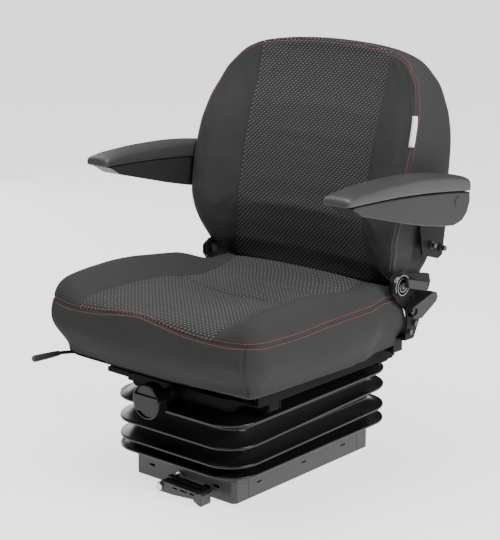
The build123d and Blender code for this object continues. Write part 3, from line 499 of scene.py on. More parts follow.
def cushion_outline():
    rf, rr = 0.040, 0.022
    pts, marks = [], []
    def arc(cx, cy, r, a0, a1, k=14, mark=None):
        for i in range(k + 1):
            a = math.radians(a0 + (a1 - a0) * i / k)
            if mark is not None and i == mark:
                marks.append(len(pts))
            pts.append((cx + r * math.cos(a), cy + r * math.sin(a)))
    for x in np.linspace(-CHX + rf, CHX - rf, 60)[1:-1]:
        pts.append((x, CY0))
    arc(CHX - rf, CY0 + rf, rf, -90, 0, mark=5)
    for y in np.linspace(CY0 + rf, CY1 - rr, 90)[1:-1]:
        pts.append((float(half_right(y)), y))
    arc(float(half_right(CY1)) - rr, CY1 - rr, rr, 0, 90, mark=7)
    for x in np.linspace(float(half_right(CY1)) - rr, -float(half_left(CY1)) + rr, 60)[1:-1]:
        pts.append((x, CY1))
    arc(-float(half_left(CY1)) + rr, CY1 - rr, rr, 90, 180, mark=7)
    for y in np.linspace(CY1 - rr, CY0 + rf, 90)[1:-1]:
        pts.append((-float(half_left(y)), y))
    arc(-CHX + rf, CY0 + rf, rf, 180, 270, mark=9)
    q = np.array(pts)
    # the front bows out a touch
    w = smooth01((-(q[:, 1] - CY0) + 0.06) / 0.06)
    q[:, 1] -= 0.004 * (1 - (q[:, 0] / CHX) ** 2) * w
    ra, rb, rc, rd = marks
    return q, (rd, ra, rb, rc)

Zc = pchip([-0.31, -0.28, -0.25, -0.20, -0.15, -0.10, -0.06, -0.03, 0.0, 0.03, 0.06, 0.09, 0.11, 0.125, 0.132, 0.139, 0.147, 0.16, 0.18],
           [0.362, 0.365, 0.365, 0.363, 0.359, 0.354, 0.350, 0.3495, 0.351, 0.3525, 0.357, 0.3625, 0.368, 0.3715, 0.369, 0.358, 0.344, 0.328, 0.316])
Ze = pchip([-0.31, -0.28, -0.25, -0.20, -0.15, -0.10, -0.07, -0.04, -0.01, 0.02, 0.05, 0.08, 0.11, 0.125, 0.132, 0.139, 0.147, 0.16, 0.18],
           [0.357, 0.361, 0.3635, 0.366, 0.3665, 0.365, 0.3615, 0.356, 0.352, 0.350, 0.351, 0.355, 0.361, 0.3655, 0.364, 0.355, 0.342, 0.327, 0.315])
Zk = pchip([-0.31, -0.28, -0.25, -0.20, -0.15, -0.10, -0.05, 0.0, 0.04, 0.08, 0.105, 0.12, 0.13, 0.139, 0.147, 0.16, 0.18],
           [0.372, 0.382, 0.389, 0.394, 0.396, 0.394, 0.3885, 0.3825, 0.377, 0.3715, 0.370, 0.368, 0.364, 0.354, 0.342, 0.327, 0.315])
Wi = pchip([-0.31, -0.25, -0.20, -0.15, -0.10, -0.07, -0.04, -0.01, 0.02, 0.05, 0.08, 0.11, 0.14, 0.18],
           [0.1675, 0.1665, 0.1635, 0.1610, 0.1585, 0.1545, 0.1535, 0.1520, 0.1510, 0.1530, 0.1570, 0.1600, 0.1625, 0.165])
Zseam_front = pchip([-0.26, -0.235, -0.195, -0.12, -0.06, -0.01, 0.04, 0.09, 0.14, 0.19, 0.234, 0.26],
                    [0.347, 0.346, 0.341, 0.345, 0.354, 0.359, 0.353, 0.346, 0.343, 0.3435, 0.3475, 0.349])
Zseam_side = pchip([-0.31, -0.25, -0.19, -0.10, 0.0, 0.08, 0.12, 0.14, 0.164, 0.18], [0.3475, 0.348, 0.346, 0.349, 0.350, 0.349, 0.346, 0.338, 0.321, 0.318])
CREASE_Y = -0.045

def seat_cushion():
    out, cor = cushion_outline()
    n, m = ((96, 96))
    sh = Shell(out, cor, n, m)
    G = sh.grid.reshape(-1, 2)
    rim = sh.rim
    D, I = nearest_on(G, rim)
    x, y = G[:, 0], G[:, 1]
    def seam_z(p):
        w = smooth01((p[:, 1] - (CY0 + 0.008)) / 0.035)
        zr = smooth01((p[:, 1] - (CY1 - 0.03)) / 0.03)
        return (Zseam_front(p[:, 0]) * (1 - w) + Zseam_side(p[:, 1]) * w) * (1 - zr) + 0.316 * zr
    rz = seam_z(rim)
    ax = np.abs(x)
    w = Wi(y)
    q = np.clip((ax - w) / (0.231 - w), 0, 1)
    H = np.where(ax < w, Zc(y) + (Ze(y) - Zc(y)) * (ax / w) ** 2.2, Ze(y) + (Zk(y) - Ze(y)) * np.sin(q * math.pi / 2) ** 1.25)
    # cross crease of the insert
    cr = CREASE_Y - 0.006 * (1 - (ax / 0.15) ** 2)
    H = H - 0.0055 * np.exp(-((y - cr) / 0.011) ** 2) * smooth01((w + 0.01 - ax) / 0.05)
    # roll over to the seam
    roll = 0.030 + 0.003 * smooth01((np.abs(rim[I, 0]) - 0.19) / 0.05)
    k = np.sqrt(np.clip(1 - (1 - np.clip(D / roll, 0, 1)) ** 2, 0, 1))
    z = rz[I] + (H - rz[I]) * k
    front = np.c_[x, y, z].reshape(n + 1, m + 1, 3)
    # side band
    nr = sh.rim_normals()
    rows = []
    K = 18
    cornerish = smooth01((np.abs(rim[:, 0]) - 0.19) / 0.05) * smooth01((CY0 + 0.06 - rim[:, 1]) / 0.05)
    dep = 0.014 + 0.012 * cornerish * (rim[:, 0] < 0) + 0.002 * cornerish
    rear = smooth01((rim[:, 1] - (CY1 - 0.024)) / 0.020)
    for _ in range(8):
        dep = (np.roll(dep, 1) + dep + np.roll(dep, -1)) / 3
    zb = np.where(rim[:, 1] < CY0 + 0.03, 0.2425 + 0.010 * smooth01((rim[:, 0] - 0.03) / 0.2), 0.0)
    sidez = np.interp(rim[:, 1], [CY0, -0.2, 0.0, 0.10, 0.14, CY1], [0.2525, 0.2500, 0.2450, 0.2430, 0.2450, 0.2600])
    wl = smooth01((rim[:, 1] - CY0 - 0.005) / 0.05)
    zb = (0.2425 + 0.010 * smooth01((rim[:, 0] - 0.03) / 0.2)) * (1 - wl) + sidez * wl
    for k in range(1, K + 1):
        v = k / K
        off = 0.0075 * np.sin(math.pi * min(1.0, v * 1.25)) ** 0.8 * (1 - 0.3 * v) if v * 1.25 < 1 else 0.0
        off = off - dep * smooth01(np.array((v - 0.25) / 0.75)) ** 1.2
        off = off * (1 - rear)
        p = rim + nr * (off if np.ndim(off) else np.full(len(rim), off))[:, None]
        # the rear face leans out towards the bottom
        p[:, 1] = p[:, 1] + 0.0155 * rear * smooth01(np.array(v / 0.55))
        zz = rz + (zb - rz) * v
        rows.append(np.c_[p, zz])
    last = rows[-1]
    lk = {ij: q for q, ij in enumerate(sh.loop)}
    def side_curve(ids):
        return np.array([last[lk[ij]] for ij in ids])
    b0 = side_curve([(i, 0) for i in range(n + 1)])
    b1 = side_curve([(n, j) for j in range(m + 1)])
    b2 = side_curve([(i, m) for i in range(n + 1)])
    b3 = side_curve([(0, j) for j in range(m + 1)])
    B = coons(b0, b1, b2, b3)
    e = np.minimum(np.minimum(np.arange(n + 1)[:, None], n - np.arange(n + 1)[:, None]), np.minimum(np.arange(m + 1)[None], m - np.arange(m + 1)[None]))
    wz = smooth01(e / 5.0)
    B[:, :, 2] = B[:, :, 2] * (1 - wz) + 0.2446 * wz
    V, F = sh.build(front, rows, B)
    F = [f[::-1] for f in F] if False else F
    ob = mesh_obj("seat_cover", V, F, (M_CLOTH,))
    # pins: seam line, insert edge, crease, underside
    pin = np.zeros(len(V))
    pin[sh.row_ids[0]] = 1
    pin[sh.row_ids[-1]] = 1
    pin[sh.row_ids[-2]] = 1
    pin[sh.bid.ravel()] = 1
    fx = np.abs(np.abs(x) - w) < 0.0032
    pin[sh.fid.ravel()[fx]] = 1
    fc = (np.abs(y - cr) < 0.0032) & (ax < w)
    pin[sh.fid.ravel()[fc]] = 1
    puff(ob, pin, pressure=1.6, frames=12, cap=0.005)
    co = coords(ob)
    # pattern coordinates by length along the cover
    P = co[sh.fid.ravel()].reshape(n + 1, m + 1, 3)
    du = np.linalg.norm(np.diff(P, axis=0), axis=2)
    U = np.vstack([np.zeros((1, m + 1)), np.cumsum(du, 0)])
    U -= U[n // 2][None]
    dv = np.linalg.norm(np.diff(P, axis=1), axis=2)
    Vv = np.hstack([np.zeros((n + 1, 1)), np.cumsum(dv, 1)])
    jc = np.abs(P[n // 2, :, 1] + 0.05).argmin()
    Vv -= Vv[:, jc][:, None]
    # centre line rules the length, so rows stay straight across
    Vv = 0.25 * Vv + 0.75 * Vv[n // 2][None]
    puv = np.zeros((len(co), 3))
    puv[sh.fid.ravel(), 0] = U.ravel()
    puv[sh.fid.ravel(), 1] = Vv.ravel()
    sd = np.full(len(co), -0.05)
    sd[sh.fid.ravel()] = (w - ax)
    attr(ob, "puv", "FLOAT_VECTOR", puv)
    attr(ob, "sd", "FLOAT", sd)
    seam = co[sh.row_ids[0]].copy()
    inner = np.array([P[min(max(i, 1), n - 1), min(max(j, 1), m - 1)] for i, j in sh.loop])
    outer = co[sh.row_ids[1]].copy()
    subdivide(ob, 1)
    # the closing cloth under the cushion is a plain black one
    ob.data.materials.append(M_UNDER)
    zz = coords(ob)[:, 2]
    for f in ob.data.polygons:
        if max(zz[i] for i in f.vertices) < 0.2482:
            f.material_index = 1
    return ob, sh, seam, inner, outer

def loop_rows(seam, inner, outer, gap):
    a = inner - seam
    a /= np.linalg.norm(a, axis=1)[:, None]
    b = outer - seam
    b /= np.linalg.norm(b, axis=1)[:, None]
    for _ in range(3):
        a = (np.roll(a, 1, 0) + 2 * a + np.roll(a, -1, 0)) / 4
        b = (np.roll(b, 1, 0) + 2 * b + np.roll(b, -1, 0)) / 4
    return seam + a * gap, seam + b * gap

def groove(ob, line, depth, width, rows=(), row_depth=0.0006, row_w=0.0012):
    co = coords(ob)
    nr = vnormals(ob)
    lo = line.min(0) - 0.03
    hi = line.max(0) + 0.03
    sel = np.all((co > lo) & (co < hi), axis=1)
    P = co[sel]
    # coarse pick first
    d0, _ = nearest_on(P, line[::2])
    near = d0 < 0.02
    idx = np.where(sel)[0][near]
    d = polydist(co[idx], line)
    mv = -depth * np.exp(-(d / width) ** 2)
    co[idx] += nr[idx] * mv[:, None]
    set_coords(ob, co)

seat, shs, seam, inner, outer = seat_cushion()
up_row, lo_row = loop_rows(seam, inner, outer, 0.0048)
closed = lambda a: np.vstack([a, a[:1]])
groove(seat, closed(seam), 0.0030, 0.0026)
# insert edge grooves and the vertical seams at the front corners
yy = np.linspace(CY0 + 0.004, 0.15, 60)
bv = bvh_of(seat)
def on_top(pts):
    out = []
    for p in pts:
        h = bv.ray_cast(Vector((p[0], p[1], 0.6)), Vector((0, 0, -1)))
        if h[0] is not None:
            out.append(np.array(h[0]))
    return np.array(out)
for s in (-1, 1):
    g = on_top([(s * float(Wi(t)), t) for t in yy])
    groove(seat, g, 0.0022, 0.0022)
cx_ = np.linspace(-0.146, 0.146, 40)
groove(seat, on_top([(t, CREASE_Y - 0.006 * (1 - (t / 0.15) ** 2)) for t in cx_]), 0.0030, 0.0045)
n_, m_ = shs.n, shs.m
# upright seams at the two front corners
cos_ = coords(seat)
for a_ in (-70, -110):
    c_ = np.array([(CHX - 0.040) * (1 if a_ > -90 else -1), CY0 + 0.040])
    d_ = np.array([math.cos(math.radians(a_)), math.sin(math.radians(a_))])
    line = []
    for z_ in np.linspace(0.343, 0.256, 16):
        h_ = bv.ray_cast(Vector((c_[0] + d_[0] * 0.12, c_[1] + d_[1] * 0.12, z_)), Vector((-d_[0], -d_[1], 0)))
        if h_[0] is not None:
            line.append(np.array(h_[0]))
    groove(seat, np.array(line), 0.0026, 0.0022)
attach(seat, "seat")
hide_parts("seat_cushion")
bv = bvh_of(seat)
st1 = stitches("seat_stitches", [closed(up_row), closed(lo_row)], bv, M_RED, "seat")

# ------------------------------------------------------------------ backrest
BW = pchip([0.357, 0.372, 0.388, 0.406, 0.421, 0.438, 0.457, 0.480, 0.505, 0.55, 0.60, 0.64, 0.68, 0.70, 0.735, 0.753, 0.7755, 0.7885, 0.7965, 0.802, 0.8055, 0.8075],
           [0.155, 0.2035, 0.214, 0.2235, 0.2330, 0.2430, 0.2515, 0.2580, 0.2615, 0.2635, 0.2645, 0.2635, 0.2570, 0.2500, 0.2360, 0.2220, 0.2000, 0.1750, 0.1450, 0.1050, 0.0550, 0.0])
Ys = pchip([0.34, 0.386, 0.440, 0.480, 0.520, 0.560, 0.600, 0.640, 0.680, 0.720, 0.755, 0.785, 0.81],
           [0.150, 0.121, 0.107, 0.1045, 0.1095, 0.117, 0.129, 0.143, 0.161, 0.181, 0.196, 0.210, 0.222])
Yi = pchip([0.34, 0.40, 0.44, 0.48, 0.52, 0.56, 0.60, 0.64, 0.68, 0.72, 0.76, 0.79, 0.81],
           [0.152, 0.142, 0.1345, 0.1315, 0.137, 0.145, 0.154, 0.1645, 0.177, 0.193, 0.2085, 0.218, 0.224])
Yr = pchip([0.346, 0.400, 0.480, 0.560, 0.640, 0.700, 0.760, 0.785, 0.803, 0.812],
           [0.234, 0.244, 0.262, 0.275, 0.279, 0.279, 0.276, 0.271, 0.262, 0.250])
WIB = pchip([0.34, 0.40, 0.44, 0.48, 0.56, 0.64, 0.72, 0.81], [0.178, 0.168, 0.160, 0.156, 0.157, 0.158, 0.158, 0.158])

def back_outline_xz():
    right = [(0.0, 0.357), (0.10, 0.357), (0.155, 0.357), (0.185, 0.361), (0.2035, 0.372), (0.214, 0.388), (0.2235, 0.406), (0.2330, 0.421), (0.2430, 0.438),
             (0.2515, 0.457), (0.2580, 0.480), (0.2615, 0.505), (0.2635, 0.55), (0.2645, 0.60), (0.2635, 0.64), (0.2570, 0.68), (0.2500, 0.70), (0.2360, 0.735),
             (0.2220, 0.753), (0.2000, 0.7755), (0.1750, 0.7885), (0.1450, 0.7965), (0.1050, 0.8020), (0.0550, 0.8055), (0.0, 0.8070)]
    left = [(-x, z) for x, z in right[::-1] if x > 0]
    # the left side keeps its width further down than the side over the plain pivot
    wide = [(0.205, 0.3605), (0.2240, 0.370), (0.2350, 0.386), (0.2410, 0.402), (0.2455, 0.418), (0.2505, 0.438)]
    right = [q for q in right if q[1] > 0.45 or q[0] < 0.16] 
    at = [i for i, q in enumerate(right) if q[1] > 0.45][0]
    right = right[:at] + wide + right[at:]
    P = spline(right + left, 640, closed=True)[:-1]
    # corner picks
    def near(px, pz):
        return int(np.hypot(P[:, 0] - px, P[:, 1] - pz).argmin())
    return P, (near(-0.2035, 0.372), near(0.2240, 0.370), near(0.218, 0.758), near(-0.218, 0.758))

def back_cushion():
    out, cor = back_outline_xz()
    n, m = ((92, 84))
    sh = Shell(out, cor, n, m)
    G = sh.grid.reshape(-1, 2)
    rim = sh.rim
    D, I = nearest_on(G, rim)
    x, z = G[:, 0], G[:, 1]
    ax = np.abs(x)
    w = WIB(z)
    ys_rim = Ys(rim[:, 1])
    bottom = smooth01((0.385 - rim[:, 1]) / 0.025)
    ys_rim = ys_rim * (1 - bottom) + 0.152 * bottom
    low = smooth01((0.374 - rim[:, 1]) / 0.014)
    q = np.clip((ax - w) / (0.235 - w), 0, 1)
    yi = Yi(z)
    yk = Ys(z) - 0.001
    topw = smooth01((z - 0.66) / 0.12)
    yk = yk * (1 - topw) + (yi - 0.006) * topw
    H = np.where(ax < w, yi + 0.004 * (1 - (ax / w) ** 2), yi + (yk - yi) * np.sin(q * math.pi / 2) ** 1.2)
    roll = 0.026 - 0.008 * smooth01((rim[I, 1] - 0.70) / 0.06)
    dy = np.where(rim[I, 1] > 0.70, 0.010, 0.008)
    k = np.sqrt(np.clip(1 - (1 - np.clip(D / roll, 0, 1)) ** 2, 0, 1))
    # the panel stands a little proud of the seam
    y = ys_rim[I] + (H - ys_rim[I]) * smooth01(D / 0.05) - 0.0
    lift = 0.0065 * np.sqrt(np.clip(1 - (1 - np.clip(D / 0.018, 0, 1)) ** 2, 0, 1)) * (1 - smooth01((D - 0.02) / 0.06))
    y = y - lift
    front = np.c_[x, y, z].reshape(n + 1, m + 1, 3)
    nr = sh.rim_normals()
    rows = []
    K = 24
    zr = rim[:, 1]
    yb = Yr(zr)
    inset = 0.012 + 0.004 * smooth01((zr - 0.7) / 0.08)
    for k in range(1, K + 1):
        v = k / K
        bulge = (0.0045 - 0.0032 * smooth01((zr - 0.39) / 0.03) * (1 - smooth01((zr - 0.66) / 0.04))) * (math.sin(math.pi * min(1, v * 1.15)) ** 0.8 if v * 1.15 < 1 else 0.0)
        # turn in over the last part towards the rear panel
        tin = max(0.0, (v - 0.80) / 0.20)
        r = 0.016
        off = bulge - inset * v * 0.35 - r * (1 - math.sqrt(max(0.0, 1 - tin * tin)))
        p = rim + nr * np.broadcast_to(off, (len(rim),))[:, None]
        yy_ = ys_rim + (yb - ys_rim) * (v if v < 0.8 else 0.8 + 0.2 * math.sin(tin * math.pi / 2))
        # the underside falls towards the rear; the sides stay clear of the arm brackets
        lim = np.where((yy_ > 0.150) & (zr > 0.40) & (zr < 0.565), 0.2612, 0.2660)
        px_ = np.clip(p[:, 0], -lim, lim)
        rows.append(np.c_[px_, yy_, p[:, 1] - 0.043 * low * v])
    last = rows[-1]
    lk = {ij: q for q, ij in enumerate(sh.loop)}
    sc = lambda ids: np.array([last[lk[ij]] for ij in ids])
    B = coons(sc([(i, 0) for i in range(n + 1)]), sc([(n, j) for j in range(m + 1)]), sc([(i, m) for i in range(n + 1)]), sc([(0, j) for j in range(m + 1)]))
    e = np.minimum(np.minimum(np.arange(n + 1)[:, None], n - np.arange(n + 1)[:, None]), np.minimum(np.arange(m + 1)[None], m - np.arange(m + 1)[None]))
    wz = smooth01((e - 1) / 3.0)
    B[:, :, 1] = B[:, :, 1] * (1 - wz) + (Yr(B[:, :, 2]) - 0.010) * wz
    V, F = sh.build(front, rows, B)
    F = [f[::-1] for f in F]
    ob = mesh_obj("back_cover", V, F, (M_CLOTH,))
    pin = np.zeros(len(V))
    pin[sh.row_ids[0]] = 1
    for r_ in sh.row_ids[-4:]:
        pin[r_] = 1
    pin[sh.bid.ravel()] = 1
    pin[sh.fid.ravel()[np.abs(ax - w) < 0.0032]] = 1
    puff(ob, pin, pressure=1.4, frames=12, cap=0.004)
    co = coords(ob)
    P = co[sh.fid.ravel()].reshape(n + 1, m + 1, 3)
    du = np.linalg.norm(np.diff(P, axis=0), axis=2)
    U = np.vstack([np.zeros((1, m + 1)), np.cumsum(du, 0)])
    U -= U[n // 2][None]
    mid = P[n // 2]
    zl = arclen(mid)
    puv = np.zeros((len(co), 3))
    # rows by height on the middle line, columns by the x coordinate stretched by 1%
    hgt = np.interp(P[:, :, 2], mid[:, 2], zl)
    puv[sh.fid.ravel(), 0] = P[:, :, 0].ravel() * 1.01
    puv[sh.fid.ravel(), 1] = hgt.ravel()
    sd = np.full(len(co), -0.05)
    sd[sh.fid.ravel()] = (w - ax)
    attr(ob, "puv", "FLOAT_VECTOR", puv)
    attr(ob, "sd", "FLOAT", sd)
    seam = co[sh.row_ids[0]].copy()
    inner = np.array([P[min(max(i, 1), n - 1), min(max(j, 1), m - 1)] for i, j in sh.loop])
    outer = co[sh.row_ids[1]].copy()
    subdivide(ob, 1)
    return ob, sh, seam, inner, outer

back, shb, bseam, binner, bouter = back_cushion()
b_in, b_out = loop_rows(bseam, binner, bouter, 0.0050)
groove(back, closed(bseam), 0.0030, 0.0026)
bvb = bvh_of(back)
def on_front(pts):
    out = []
    for p in pts:
        h = bvb.ray_cast(Vector((p[0], -0.5, p[1])), Vector((0, 1, 0)))
        if h[0] is not None:
            out.append(np.array(h[0]))
    return np.array(out)
zz_ = np.linspace(0.365, 0.798, 70)
for s in (-1, 1):
    groove(back, on_front([(s * float(WIB(t)), t) for t in zz_ if abs(float(WIB(t))) < float(BW(t)) - 0.004]), 0.0020, 0.0022)
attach(back, "backrest")
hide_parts("back_cushion")
bvb = bvh_of(back)
# red above the armrest, grey below it
def split_rows(row, zcut):
    row = closed(row)
    red, grey, cur, side = [], [], [], None
    for p in row:
        s = p[2] > zcut
        if side is None or s == side:
            cur.append(p)
        else:
            (red if side else grey).append(np.array(cur))
            cur = [p]
        side = s
    (red if side else grey).append(np.array(cur))
    return [r for r in red if len(r) > 3], [r for r in grey if len(r) > 3]
r1, g1 = split_rows(b_in, 0.545)
r2, g2 = split_rows(b_out, 0.545)
stitches("back_stitches_red", r1 + r2, bvb, M_RED, "backrest")
g1 = [r for r in g1]
stitches("back_stitches_grey", [r[(r[:, 2] > 0.395)] for r in g1 + g2 if (r[:, 2] > 0.395).sum() > 3], bvb, M_GREY, "backrest")

# small blank tag sewn into the left side seam
tz = np.linspace(0.6340, 0.6880, 13)
sm = bseam[(bseam[:, 0] > 0.15)]
sm = sm[np.argsort(sm[:, 2])]
TV, TF = [], []
for i_, z_ in enumerate(tz):
    c_ = np.array([np.interp(z_, sm[:, 2], sm[:, 0]), np.interp(z_, sm[:, 2], sm[:, 1]), z_])
    for d_, h_ in ((-0.002, 0.0), (0.0035, -0.0032), (0.0085, -0.0052), (0.0085, -0.0046), (0.0035, -0.0026), (-0.002, 0.0006)):
        TV.append((c_[0] - d_ * 0.80, c_[1] + h_ - d_ * 0.10 - 0.0015, c_[2]))
for i_ in range(len(tz) - 1):
    for k_ in range(6):
        TF.append((i_ * 6 + k_, i_ * 6 + (k_ + 1) % 6, (i_ + 1) * 6 + (k_ + 1) % 6, (i_ + 1) * 6 + k_))
TF.append(tuple(range(6))[::-1])
TF.append(tuple((len(tz) - 1) * 6 + k_ for k_ in range(6)))
tag = mesh_obj("seam_tag", TV, TF, (plain("tag_cloth", (0.62, 0.62, 0.60), 0.8, grain=1800, bump=0.3, vary=0.05),))
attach(tag, "backrest")

# ------------------------------------------------------------------- bellows
def rounded_loop(hx, hy, r, k=12, ns=10):
    pts = []
    for (cx, cy, a0) in ((hx - r, hy - r, 0), (-hx + r, hy - r, 90), (-hx + r, -hy + r, 180), (hx - r, -hy + r, 270)):
        for i in range(k + 1):
            a = math.radians(a0 + 90 * i / k)
            pts.append((cx + r * math.cos(a), cy + r * math.sin(a)))
    P = np.array(pts)
    # straight runs get points too
    out = []
    N = len(P)
    for i in range(N):
        a, b = P[i], P[(i + 1) % N]
        out.append(a)
        if i % (k + 1) == k:
            for t in np.linspace(0, 1, ns + 1)[1:-1]:
                out.append(a + (b - a) * t)
    return np.array(out)

def bellows():
    RIB = (0.1645, 0.2435, 0.064)
    VAL = (0.1335, 0.2095, 0.036)
    LIPR = (0.1310, 0.2065, 0.0095)
    TOPR = (0.1225, 0.2105, 0.022)
    ribs = [0.0633, 0.0883, 0.1273, 0.1655]
    slope = [0.004, 0.021, 0.038, 0.014]
    prof = []          # (fraction between valley and rib, z, kind)
    secs = []
    def add(h, z, sl=0.0):
        secs.append((h, z, sl))
    add(("L", 0), 0.0440)
    add(("L", 0), 0.0480)
    add(("LV", 0.2), 0.0515)
    for q, (z, sl) in enumerate(zip(ribs, slope)):
        lowz = 0.0520 if q == 0 else (ribs[q - 1] + z) / 2
        hiz = (ribs[q + 1] + z) / 2 if q < 3 else 0.1800
        a, b = z - lowz, hiz - z
        for f in (0.18, 0.40, 0.65, 0.85, 0.94):
            add(("R", f), z - a * (1 - f) ** 1.75 * 0.94 - 0.0030 * f, sl * f)
        add(("R", 0.985), z - 0.0024, sl)
        add(("R", 1.0), z - 0.0008, sl)
        add(("R", 1.0), z + 0.0008, sl)
        add(("R", 0.985), z + 0.0024, sl)
        for f in (0.94, 0.85, 0.65, 0.40, 0.18):
            add(("R", f), z + b * (1 - f) ** 1.75 * 0.94 + 0.0030 * f, sl * f)
        if q < 3:
            add(("R", 0.0), hiz, (sl + slope[q + 1]) / 2 * 0.3)
    add(("T", 0), 0.1804)
    loops = []
    for (kind, f), z, sl in secs:
        if kind == "L":
            d = LIPR
        elif kind == "LV":
            d = tuple(a + (b - a) * f for a, b in zip(LIPR, VAL))
        elif kind == "T":
            d = TOPR
        else:
            d = tuple(a + (b - a) * f for a, b in zip(VAL, RIB))
        P = rounded_loop(*d)
        loops.append(np.c_[P, z + sl * P[:, 1]])
    N = len(loops[0])
    V = np.vstack(loops)
    F = []
    for i in range(len(loops) - 1):
        for q in range(N):
            a, b = i * N + q, i * N + (q + 1) % N
            F.append((a, b, b + N, a + N))
    ob = mesh_obj("bellows_skin", V, F, (M_RUBBER,))
    sol = ob.modifiers.new("t", "SOLIDIFY")
    sol.thickness = 0.0028
    sol.offset = -1
    apply_mods(ob)
    subdivide(ob, 1)
    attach(ob, "base")
    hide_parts("bellows")
    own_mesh(ob)
    return ob
bellows()

# ------------------------------------------------------------- coil springs
def coil_mesh():
    V, F = [], []
    turns, R, r, z0, z1 = 6.5, 0.020, 0.003, 0.0103, 0.1597
    K, S = 150, 8
    for s in (-1, 1):
        base = len(V)
        for i in range(K + 1):
            a = 2 * math.pi * turns * i / K
            c = np.array([s * 0.038 + R * math.cos(a), 0.018 + R * math.sin(a), z0 + (z1 - z0) * i / K])
            t = np.array([-math.sin(a) * R * 2 * math.pi * turns, math.cos(a) * R * 2 * math.pi * turns, z1 - z0])
            t /= np.linalg.norm(t)
            e1 = np.array([math.cos(a), math.sin(a), 0])
            e2 = np.cross(t, e1)
            for k in range(S):
                th = 2 * math.pi * k / S
                V.append(c + (e1 * math.cos(th) + e2 * math.sin(th)) * r)
        for i in range(K):
            for k in range(S):
                F.append((base + i * S + k, base + i * S + (k + 1) % S, base + (i + 1) * S + (k + 1) % S, base + (i + 1) * S + k))
        F.append(tuple(base + k for k in range(S))[::-1])
        F.append(tuple(base + K * S + k for k in range(S)))
    ob = mesh_obj("coil_springs", V, F, (M_SPRING,))
    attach(ob, "base")
    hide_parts("springs")
    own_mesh(ob)
coil_mesh()

# --------------------------------------------------------------- arm pads
def tip_in(y):
    # front end of the armrest, drawn in a little
    y = np.asarray(y, float)
    return np.where(y < -0.05, -0.05 + (y + 0.05) * 0.77, y)

def arm_body(name, body, node):
    me = nodes[node].data.copy()
    ob = bpy.data.objects.new(name, me)
    bpy.context.scene.collection.objects.link(ob)
    me.transform(nodes[node].matrix_world)
    co = coords(ob)
    co[:, 1] = tip_in(co[:, 1])
    set_coords(ob, co)
    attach(ob, body)
    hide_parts(node)
arm_body("arm_body_left", "armrest_left", "armrest_body_left")
arm_body("arm_body_right", "armrest_right", "armrest_body_right")

def arm_pad(s, name, body, node):
    # loft along Y; sections are rounded rectangles between the pad's lower and upper line
    top = pchip([-0.157, -0.150, -0.122, -0.06, 0.0, 0.06, 0.124, 0.195, 0.235, 0.2475],
                [0.578, 0.583, 0.588, 0.592, 0.594, 0.5935, 0.5895, 0.580, 0.571, 0.563])
    low = pchip([-0.157, -0.14, -0.072, 0.007, 0.091, 0.178, 0.2475], [0.5702, 0.5698, 0.5684, 0.5658, 0.5602, 0.5518, 0.5436])
    ny, ns = 110, 44
    ys = np.linspace(0, 1, ny)
    ys = -0.157 + (0.157 + 0.2475) * (0.5 - 0.5 * np.cos(math.pi * ys)) * 0.35 + (0.157 + 0.2475) * ys * 0.65
    V, F = [], []
    xc, hw = 0.2954, 0.029
    for y in ys:
        t, l = float(top(y)), float(low(y))
        e = min(1.0, (y + 0.157) / 0.013)
        g = min(1.0, (0.2475 - y) / 0.008)
        we = hw - 0.009 * (1 - math.sqrt(max(0, 1 - (1 - e) ** 2))) - 0.004 * (1 - math.sqrt(max(0, 1 - (1 - g) ** 2)))
        te = t - 0.006 * (1 - math.sqrt(max(0, 1 - (1 - e) ** 2))) - 0.006 * (1 - math.sqrt(max(0, 1 - (1 - g) ** 2)))
        c, h = (te + l) / 2, (te - l) / 2
        for k in range(ns):
            a = 2 * math.pi * k / ns
            ca, sa = math.cos(a), math.sin(a)
            ex = 0.30
            px = we * math.copysign(abs(ca) ** ex, ca)
            pz = h * math.copysign(abs(sa) ** (0.42 if sa > 0 else 0.25), sa)
            crown = 0.0016 * (1 - (px / hw) ** 2) if sa > 0 else 0.0
            V.append((s * (xc + px), y, c + pz + crown * (sa > 0)))
    V = [(a_, float(tip_in(b_)), c_) for a_, b_, c_ in V]
    n = len(ys)
    for i in range(n - 1):
        for k in range(ns):
            f = (i * ns + k, i * ns + (k + 1) % ns, (i + 1) * ns + (k + 1) % ns, (i + 1) * ns + k)
            F.append(f if s < 0 else f[::-1])
    for base, flip in ((0, s > 0), ((n - 1) * ns, s < 0)):
        cid = len(V)
        P = np.array(V[base:base + ns])
        V.append(tuple(P.mean(0)))
        for k in range(ns):
            f = (cid, base + (k + 1) % ns, base + k)
            F.append(f if not flip else f[::-1])
    ob = mesh_obj(name, V, F, (M_PAD,))
    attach(ob, body)
    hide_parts(node)
    return ob
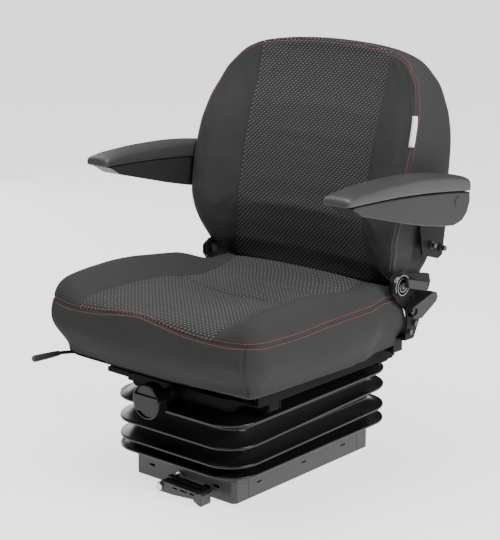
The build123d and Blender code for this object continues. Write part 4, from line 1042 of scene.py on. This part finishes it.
arm_pad(1, "arm_pad_left", "armrest_left", "armrest_pad_left")
arm_pad(-1, "arm_pad_right", "armrest_right", "armrest_pad_right")

# -------------------------------------------------- floor, light and camera
floor = mesh_obj("floor", [(-30, -30, 0), (30, -30, 0), (30, 30, 0), (-30, 30, 0)], [(0, 1, 2, 3)], smooth=False)
tf = Tree("floor_white")
fn = tf.noise(3.0, 2.0)
tf.set(Base_Color=tf.mix(fn, rgb(0.42), rgb(0.44)), Roughness=tf.ramp(fn, (0, 1), (0.75, 0.8)))
tf.b.inputs["Specular IOR Level"].default_value = 0.1
tf.b.inputs["Emission Color"].default_value = (1, 1, 1, 1)
tf.b.inputs["Emission Strength"].default_value = 1.7
floor.data.materials.append(tf.m)

world = bpy.data.worlds.new("studio")
bpy.context.scene.world = world
world.use_nodes = True
world.node_tree.nodes["Background"].inputs[0].default_value = (1, 1, 1, 1)
world.node_tree.nodes["Background"].inputs[1].default_value = 0.08

def area(name, loc, target, size, power, sizey=None):
    d = bpy.data.lights.new(name, "AREA")
    d.energy = power
    d.size = size
    if sizey:
        d.shape = "RECTANGLE"
        d.size_y = sizey
    o = bpy.data.objects.new(name, d)
    o.location = loc
    o.rotation_euler = (Vector(target) - Vector(loc)).to_track_quat("-Z", "Y").to_euler()
    bpy.context.scene.collection.objects.link(o)
    return o
area("key_right", (2.6, 0.2, 1.7), (0, 0, 0.5), 1.4, 112)
area("top", (-0.3, -0.5, 3.0), (0, 0, 0.4), 2.0, 140)
area("left_rim", (-2.6, 0.9, 1.2), (0, 0, 0.5), 1.2, 30, 2.0)
area("front", (0.2, -2.6, 3.0), (0, 0, 0.6), 1.6, 7)

cam = bpy.data.cameras.new("camera")
cam.sensor_width = 36.0
cam.lens = 103.7
cam.clip_end = 100
co_ = bpy.data.objects.new("camera", cam)
co_.location = (1.891, -2.186, 1.117)
co_.rotation_euler = (math.radians(90 - 14.2175), 0, math.radians(41.04))
bpy.context.scene.collection.objects.link(co_)
bpy.context.scene.camera = co_
